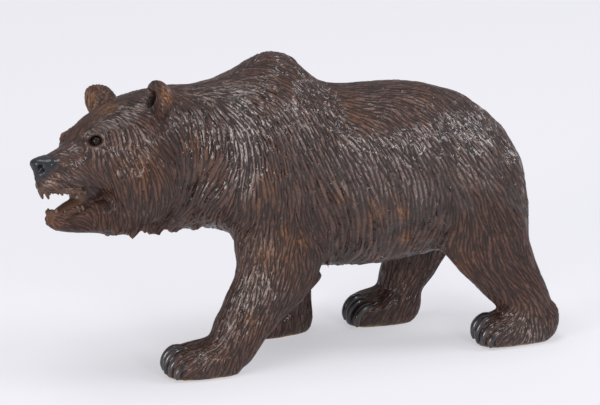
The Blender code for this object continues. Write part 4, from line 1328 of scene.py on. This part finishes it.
def set_on(tree, shape, places, material):
    """Copies of a shape, one for each place: a frame, a size along its three axes and how brown it is."""
    mesh = bpy.data.meshes.new("places")
    mesh.from_pydata([place.translation for place, _, _ in places], [], [])
    store(mesh, "turn", [place.to_euler()[:] for place, _, _ in places])
    store(mesh, "size", [size for _, size, _ in places])
    store(mesh, "brown", [brown for _, _, brown in places])
    holder = new_object("shape", shape)
    made = run_tree(mesh, tree, {"Shape": holder, "Material": material})
    bpy.data.objects.remove(holder)
    return made


def claw_shape():
    """One hooked claw in its fan: from the top of the paw, over the toe and down to the ground."""
    stock = bmesh.new()
    path = spline(CLAW_PATH, 14)
    ways = np.gradient(path[:, :2], axis=0)
    rings = []
    for (reach, level, half), (forward, up) in zip(path, ways):
        out = Vector((-up, 0, forward)).normalized()
        ring = rounded_ring(half, half * CLAW_RIDGE, half, 12, 2)
        rings.append([Vector((reach, across, level)) + out * h for across, h in ring])
    add_loft(stock, rings)
    return mesh_of(stock, "claw")


def tooth_shape():
    """One pointed tooth of height 1 and half width 1 on its root."""
    stock = bmesh.new()
    rings = []
    for t in TOOTH_STEPS:
        rings.append([Vector((a, b, t)) for a, b in circle(1 - TOOTH_TAPER * t ** 2.2, 10)])
    add_loft(stock, rings)
    return mesh_of(stock, "tooth")


def claw_places():
    """Where each claw sits."""
    return [claw for paw in PAWS for claw in claw_frames(paw)]


def tooth_places():
    """Where each tooth sits. Those of the upper jaw point down."""
    rows = [*spline(UPPER_ROW, ROW_TEETH), *spline(LOWER_ROW, ROW_TEETH), *EYE_TEETH]
    places = []
    for i, (forward, outward, root, tip, half) in enumerate(rows):
        tip += TOOTH_LENGTHS[i % 3] if i < 2 * ROW_TEETH else 0
        for side in (-1, 1):
            place = HEAD @ Matrix.Translation((forward, side * outward, root))
            if tip < root:
                place = place @ Matrix.Rotation(math.pi, 4, "X")
            places.append((place, (half, half, abs(tip - root)), (i * TOOTH_BROWN) % 1))
    return places


def mouth_share(head):
    """How far each point lies in the mouth or on the ridges of the teeth."""
    middle, radii, edge = MOUTH
    mouth = 1 - step(np.linalg.norm((head - middle) / radii, axis=1), *edge)
    for path in gum_paths():
        for place in spline(path, 24):
            apart = np.linalg.norm(head - place[:3], axis=1)
            mouth = np.maximum(mouth, 1 - step(apart, *GUM_EDGE))
    return mouth


def mark_bare_places(mesh):
    """How free of fur, black, inside the mouth, shaded and bare on the sole each point of the skin is."""
    points = points_of(mesh)
    head = local(points, HEAD)
    nose = np.minimum(nearest_reach(points, NOSE_PAD), nearest_reach(points, NOSE_WING))
    black = 1 - step(nose, *NOSE_EDGE)
    mouth = mouth_share(head)
    shade = mouth * (1 - step(head[:, 0], *THROAT_EDGE))
    plain = np.maximum(black, mouth)
    for side in (-1, 1):
        eye = local(points, eye_frame(side))
        off = np.hypot(eye[:, 1] / EYE_OVAL, eye[:, 2])
        near = 1 - step(np.abs(eye[:, 0]), *EYE_DEPTH)
        plain = np.maximum(plain, (1 - step(off, *LID_EDGE)) * near)
        shade = np.maximum(shade, (1 - step(off, *SOCKET_EDGE)) * near)
    for ear in EARS:
        place, slit = ear_slit(ear)
        inner = 1 - step(reach_in(points, place, slit), *SLIT_EDGE)
        deep = 1 - step(local(points, place)[:, 0], *SLIT_DEPTH)
        plain = np.maximum(plain, SLIT_PLAIN * inner)
        shade = np.maximum(shade, inner * deep)
    sole = 1 - step(points[:, 2], *SOLE_EDGE)
    plain = np.maximum(plain, sole)
    masks = {"black": black, "mouth": mouth, "plain": plain, "shade": shade, "sole": sole}
    for name, values in masks.items():
        store(mesh, name, values)


def mark_spots(mesh, skin, name, spots):
    """How near each point is to the spots, on the near side and the far side."""
    points = points_of(mesh)
    marked = np.zeros(len(points))
    for column, row, reach, strength in spots:
        found = cast(skin, column, row)
        if not found:
            continue
        for flip in (1, -1):
            middle = np.array((found[0].x, flip * found[0].y, found[0].z))
            apart = np.linalg.norm(points - middle, axis=1)
            marked = np.maximum(marked, strength * np.exp(-(apart / reach) ** 2))
    store(mesh, name, marked)


def mark_strokes(mesh, rows, guides):
    """How polished the fur is, and on each face the sideways direction, place and tone of its stroke."""
    store(mesh, "polish", fur_at(points_of(mesh), normals_of(mesh), guides)[1][:, 3])
    nearest = KDTree(len(rows["place"]))
    for i, place in enumerate(rows["place"]):
        nearest.insert(place, i)
    nearest.balance()
    picked = [nearest.find(face.center)[1] for face in mesh.polygons]
    side = rows["side"][picked]
    middle = ((rows["place"][picked] * UNIT + np.array(INTO_METRES.translation)) * side).sum(1)
    store(mesh, "stroke_side", side, "FACE")
    store(mesh, "stroke_middle", middle, "FACE")
    store(mesh, "tone", rows["tone"][picked], "FACE")


class Shader:
    """A material's node tree, with short calls for the nodes used here."""

    def __init__(self, name):
        self.material = bpy.data.materials.new(name)
        self.material.use_nodes = True
        self.tree = self.material.node_tree
        self.surface = self.tree.nodes["Principled BSDF"]
        self.place = self.tree.nodes.new("ShaderNodeTexCoord").outputs["Object"]

    def put(self, value, socket):
        """Sets a socket to a value, or joins it to another socket."""
        feed(self.tree, value, socket)

    def math(self, operation, *values):
        """A sum on numbers and sockets."""
        return math_node(self.tree, operation, *values)

    def vector(self, operation, first, second):
        """A sum on two vectors, or on a vector and its scale."""
        return vector_node(self.tree, operation, first, second)

    def read(self, name, output="Fac"):
        """A number or a direction kept on the mesh."""
        node = self.tree.nodes.new("ShaderNodeAttribute")
        node.attribute_name = name
        return node.outputs[output]

    def noise_over(self, place, scale, detail, roughness):
        """Soft noise over places."""
        node = self.tree.nodes.new("ShaderNodeTexNoise")
        self.put(place, node.inputs["Vector"])
        for name, value in (("Scale", scale), ("Detail", detail), ("Roughness", roughness)):
            self.put(value, node.inputs[name])
        return node.outputs["Fac"]

    def noise(self, scale, detail, roughness=0.6, stretch=(1, 1, 1)):
        """Soft noise, stretched where the axes differ."""
        spread_out = self.tree.nodes.new("ShaderNodeMapping")
        self.put(stretch, spread_out.inputs["Scale"])
        self.put(self.place, spread_out.inputs["Vector"])
        return self.noise_over(spread_out.outputs[0], scale, detail, roughness)

    def hairs(self, pitch, stretch, apart):
        """Fine lines along each stroke, a pitch apart, some stretches long and unlike the next stroke's."""
        side = self.read("stroke_side", "Vector")
        across = self.vector("DOT_PRODUCT", self.place, side)
        across = self.math("SUBTRACT", across, self.read("stroke_middle"))
        own_start = self.math("MULTIPLY", self.read("tone"), apart)
        across = self.math("ADD", self.math("MULTIPLY", across, 1 / pitch), own_start)
        lengthways = self.vector("SCALE", self.place, 1 / (pitch * stretch))
        sideways = self.vector("SCALE", side, across)
        return self.noise_over(self.vector("ADD", lengthways, sideways), 1.0, 2.0, 0.5)

    def span(self, value, low, high, start=0.0, end=1.0):
        """A value's range stretched onto another, and held inside it."""
        node = self.tree.nodes.new("ShaderNodeMapRange")
        for name, number in (("From Min", low), ("From Max", high), ("To Min", start), ("To Max", end)):
            node.inputs[name].default_value = number
        self.put(value, node.inputs["Value"])
        return node.outputs["Result"]

    def mix(self, share, first, second):
        """Two colours mixed by a share."""
        node = self.tree.nodes.new("ShaderNodeMix")
        node.data_type = "RGBA"
        self.put(share, node.inputs["Factor"])
        for value, socket in ((first, node.inputs[6]), (second, node.inputs[7])):
            self.put((*value, 1) if isinstance(value, tuple) else value, socket)
        return node.outputs[2]

    def bump(self, height, strength, distance):
        """A normal bent by a height."""
        node = self.tree.nodes.new("ShaderNodeBump")
        for name, value in (("Strength", strength), ("Distance", distance), ("Height", height)):
            self.put(value, node.inputs[name])
        return node.outputs["Normal"]

    def finish(self, **sockets):
        """Sets the surface's sockets and hands over the material."""
        for name, value in sockets.items():
            self.put(value, self.surface.inputs[name.replace("_", " ")])
        return self.material


def stain(s, blotch):
    """The stain before any wear: two browns in clouds, warmer in places, darker on some strokes."""
    colour = s.mix(s.span(s.noise(26, 3), 0.38, 0.62), STAIN_DARK, STAIN_LIGHT)
    warm = s.math("MULTIPLY", s.read("warm"), s.span(blotch, 0.3, 0.6, 0.45, 1.0))
    colour = s.mix(warm, colour, STAIN_WARM)
    return s.mix(s.span(s.read("tone"), -1, 1, 0, 0.5), colour, STAIN_DEEP)


def rubbed_and_painted_sheen(s, colour, hairs, groove, blotch):
    """The colour rubbed light on the ridges, painted pale as sheen and highlights in spots, darkened in the
    cuts by painted shade and gathered stain, and worn to bare orange in places.
    """
    ridge = s.math("SUBTRACT", 1.0, groove)
    brown = s.math("MULTIPLY", s.span(hairs, 0.52, 0.62), s.span(ridge, 0.35, 0.85))
    brown = s.math("MULTIPLY", brown, s.span(blotch, 0.40, 0.62, 0.05, 0.5))
    colour = s.mix(brown, colour, RUBBED_BROWN)
    # Painted sheen: in the listed spots the ridges are painted pale, as where light catches the varnish,
    # partly real rubbing
    sheen_share = s.math("MULTIPLY", s.span(hairs, 0.44, 0.58), s.span(ridge, 0.1, 0.7))
    sheen_share = s.math("MULTIPLY", s.read("rubbed_and_painted_sheen"), sheen_share)
    colour = s.mix(s.math("MULTIPLY", sheen_share, 0.85), colour, PAINTED_SHEEN_PALE)
    # Painted shade in the cuts, together with the stain gathered there
    colour = s.mix(s.span(groove, 0.30, 0.95, 0, 0.92), colour, CUT_STAIN_AND_SHADE)
    colour = s.mix(s.span(hairs, 0.46, 0.36, 0, 0.55), colour, HAIR_DARK)
    worn = s.math("MULTIPLY", s.read("worn"), s.span(s.noise(420, 3, 0.6), 0.40, 0.56))
    return s.mix(s.math("MULTIPLY", worn, s.span(groove, 0, 0.9, 0.95, 0.25)), colour, WORN_ORANGE)


def bare_parts(s, colour, blotch):
    """The colour with mouth, painted shade in the hollows, black nose and bare soles laid over it."""
    flesh = s.mix(blotch, FLESH_DARK, FLESH_LIGHT)
    colour = s.mix(s.math("MULTIPLY", s.read("mouth"), 0.9), colour, flesh)
    # Painted shade: eye sockets, deep mouth, ear slits and the listed spots darkened to near black
    colour = s.mix(s.math("MAXIMUM", s.read("shade"), s.read("painted_shade")), colour, SHADE_BLACK)
    colour = s.mix(s.read("black"), colour, NOSE_BLACK)
    bare = s.math("MULTIPLY", s.read("sole"), s.span(s.noise(90, 2), 0.42, 0.58))
    return s.mix(bare, colour, BARE_WOOD)


def stained_wood():
    """Dark brown stain, darker in the cuts by painted shade and gathered stain, rubbed light on the ridges,
    painted sheen in places, varnish where it is polished.
    """
    s = Shader("stained_wood")
    polish = s.read("polish")
    fine = s.noise(900, 4, 0.7)
    blotch = s.noise(110, 4, 0.65)
    hairs = s.hairs(HAIR_PITCH, HAIR_STRETCH, HAIR_OFFSET)
    colour = rubbed_and_painted_sheen(s, stain(s, blotch), hairs, s.read("groove"), blotch)
    gloss = s.math("ADD", s.span(fine, 0.3, 0.7, 0.0, 0.16), s.span(polish, 0.1, 0.9, 0.56, 0.36))
    grain = s.math("ADD", hairs, s.math("MULTIPLY", fine, 0.35))
    return s.finish(
        Base_Color=bare_parts(s, colour, blotch), Roughness=gloss, Normal=s.bump(grain, *HAIR_RELIEF),
        Coat_Weight=s.span(polish, 0.1, 0.9, 0.05, 0.85), Coat_Roughness=0.17, Specular_IOR_Level=0.24,
    )


def claw_black():
    """Claws painted black over the wood, worn brown along their backs."""
    s = Shader("claw_black")
    streak = s.noise(260, 3, 0.6, (1, 1, 0.3))
    brown = s.math("MULTIPLY", s.span(streak, 0.38, 0.62), s.span(s.read("brown"), 0, 1, 0.2, 1.0))
    gloss = s.span(streak, 0.3, 0.7, 0.22, 0.42)
    return s.finish(
        Base_Color=s.mix(brown, CLAW_DARK, CLAW_WORN), Roughness=gloss,
        Normal=s.bump(streak, 0.2, 0.0003), Coat_Weight=0.4,
    )


def tooth_wood():
    """Teeth left in thin brown stain."""
    s = Shader("tooth_wood")
    streak = s.noise(420, 3, 0.6, (1, 1, 0.4))
    colour = s.mix(s.span(streak, 0.35, 0.65), TOOTH_DARK, TOOTH_LIGHT)
    colour = s.mix(s.math("MULTIPLY", s.read("brown"), 0.4), colour, TOOTH_ORANGE)
    return s.finish(Base_Color=colour, Roughness=0.42, Normal=s.bump(streak, 0.2, 0.0002))


def eye_glass():
    """Black glass, brown where it is thin."""
    s = Shader("eye_glass")
    cloud = s.noise(300, 2)
    colour = s.mix(s.span(cloud, 0.3, 0.7), GLASS_BLACK, GLASS_BROWN)
    gloss = s.span(cloud, 0.3, 0.7, 0.05, 0.09)
    return s.finish(Base_Color=colour, Roughness=gloss, Specular_IOR_Level=0.28)


def joined(meshes, name):
    """Several meshes as one, each with its own material."""
    materials = []
    stock = bmesh.new()
    for mesh in meshes:
        first = len(stock.faces)
        stock.from_mesh(mesh)
        stock.faces.ensure_lookup_table()
        used = [material for material in mesh.materials if material]
        materials += [material for material in used if material not in materials]
        for face in stock.faces[first:]:
            face.material_index = materials.index(used[-1])
    made = mesh_of(stock, name)
    for material in materials:
        made.materials.append(material)
    return made


def carved_bear():
    """The whole carving: formed, cut along the locks, cut stroke by stroke, with claws and teeth."""
    generator = np.random.default_rng(SEED)
    wood = stained_wood()
    cutting = cutting_tree()
    mesh = formed_skin()
    press_hollows(mesh)
    store(mesh, "plain", np.zeros(len(mesh.vertices)))
    deep = line_object("deep_cuts", deep_lines(tree_of(mesh)))
    mesh = run_tree(mesh, cutting, {"Lines": deep, "Roundness": 1.0, "Material": wood})
    mesh = fused(mesh, FUR_GRAIN)
    skin = tree_of(mesh)
    guides = fur_guides(skin)
    rows = stroke_lines(mesh, skin, guides, generator)
    strokes = line_object("strokes", rows)
    mark_bare_places(mesh)
    mesh = run_tree(mesh, cutting, {"Lines": strokes, "Roundness": 2.0, "Material": wood})
    mesh = thinned(mesh, SKIN_TRIANGLES)
    points = points_of(mesh)
    points[:, 2] = np.maximum(points[:, 2], 0)
    set_points(mesh, points)
    for name, spots in SPOTS.items():
        mark_spots(mesh, skin, name, spots)
    mark_strokes(mesh, rows, guides)
    setting = setting_tree()
    claws = set_on(setting, claw_shape(), claw_places(), claw_black())
    teeth = set_on(setting, tooth_shape(), tooth_places(), tooth_wood())
    whole = joined([mesh, claws, teeth], "carved_bear")
    whole.transform(INTO_METRES)
    whole.shade_smooth()
    whole.set_sharp_from_angle(angle=math.radians(CRISP_ANGLE))
    for tool in (deep, strokes):
        bpy.data.objects.remove(tool)
    return new_object("carved_bear", whole)


def glass_ball(side, material):
    """One glass eye, a smooth ball."""
    stock = bmesh.new()
    radius = EYE_DIAMETER / UNIT / 2
    add_ball(stock, eye_frame(side), (0, 0, 0), (radius, radius, radius), 90, 40)
    mesh = mesh_of(stock, "glass_ball")
    mesh.transform(INTO_METRES)
    mesh.materials.append(material)
    mesh.shade_smooth()
    return new_object("glass_ball_left" if side > 0 else "glass_ball_right", mesh)


def set_camera():
    """The camera at the photograph's angle, far off with a long lens."""
    data = bpy.data.cameras.new("camera")
    camera = new_object("camera", data)
    middle = UP * ((SOLE_ROW - FRAME_SIZE[1] / 2) * PIXEL) + BACK * CAMERA_DEPTH
    camera.location = INTO_METRES @ middle + BACK * CAMERA_DISTANCE
    camera.rotation_euler = Matrix((RIGHT, UP, BACK)).transposed().to_euler()
    data.sensor_width = SENSOR_WIDTH
    data.lens = SENSOR_WIDTH * CAMERA_DISTANCE / (FRAME_SIZE[0] * PIXEL * UNIT)
    data.clip_end = 5 * CAMERA_DISTANCE
    bpy.context.scene.camera = camera


def soft_light(name, place, size, power, colour):
    """A soft rectangular lamp at the place, aimed at the figure's middle."""
    data = bpy.data.lights.new(name, "AREA")
    data.shape = "RECTANGLE"
    data.size, data.size_y = size
    data.energy = power
    data.color = colour
    lamp = new_object(name, data)
    lamp.location = place
    way = Vector(LAMP_AIM) - Vector(place)
    lamp.rotation_euler = way.to_track_quat("-Z", "Y").to_euler()


def set_light():
    """Plain soft studio light: a pale room, three lamps placed from the camera's side and one overhead."""
    world = bpy.data.worlds.new("studio")
    world.use_nodes = True
    background = world.node_tree.nodes["Background"]
    background.inputs["Color"].default_value = ROOM_COLOUR
    background.inputs["Strength"].default_value = ROOM_STRENGTH
    bpy.context.scene.world = world
    for name, ((back, right, up), size, power, colour) in LAMPS.items():
        place = BACK * back + RIGHT * right + Vector((0, 0, up))
        soft_light(name, place, size, power, colour)
    soft_light("overhead", *OVERHEAD_LAMP)


def pale_floor():
    """A wide pale floor that glows a little, as a light table does. It isn't part of the figure."""
    stock = bmesh.new()
    bmesh.ops.create_grid(stock, x_segments=4, y_segments=4, size=FLOOR_HALF)
    mesh = mesh_of(stock, "floor")
    s = Shader("pale_paper")
    mesh.materials.append(s.finish(
        Base_Color=FLOOR_COLOUR, Roughness=0.8,
        Emission_Color=FLOOR_GLOW, Emission_Strength=FLOOR_GLOW_STRENGTH,
    ))
    new_object("floor", mesh)


def main():
    """Makes the pieces, hides the parts they replace, and sets the studio."""
    bpy.context.scene.view_settings.view_transform = "Standard"
    set_camera()
    bear = carved_bear()
    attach(bear, "root")
    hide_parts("bear")
    glass = eye_glass()
    for side, node in ((1, "eye_left"), (-1, "eye_right")):
        ball = glass_ball(side, glass)
        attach(ball, "root")
        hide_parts(node)
    pale_floor()
    set_light()


main()
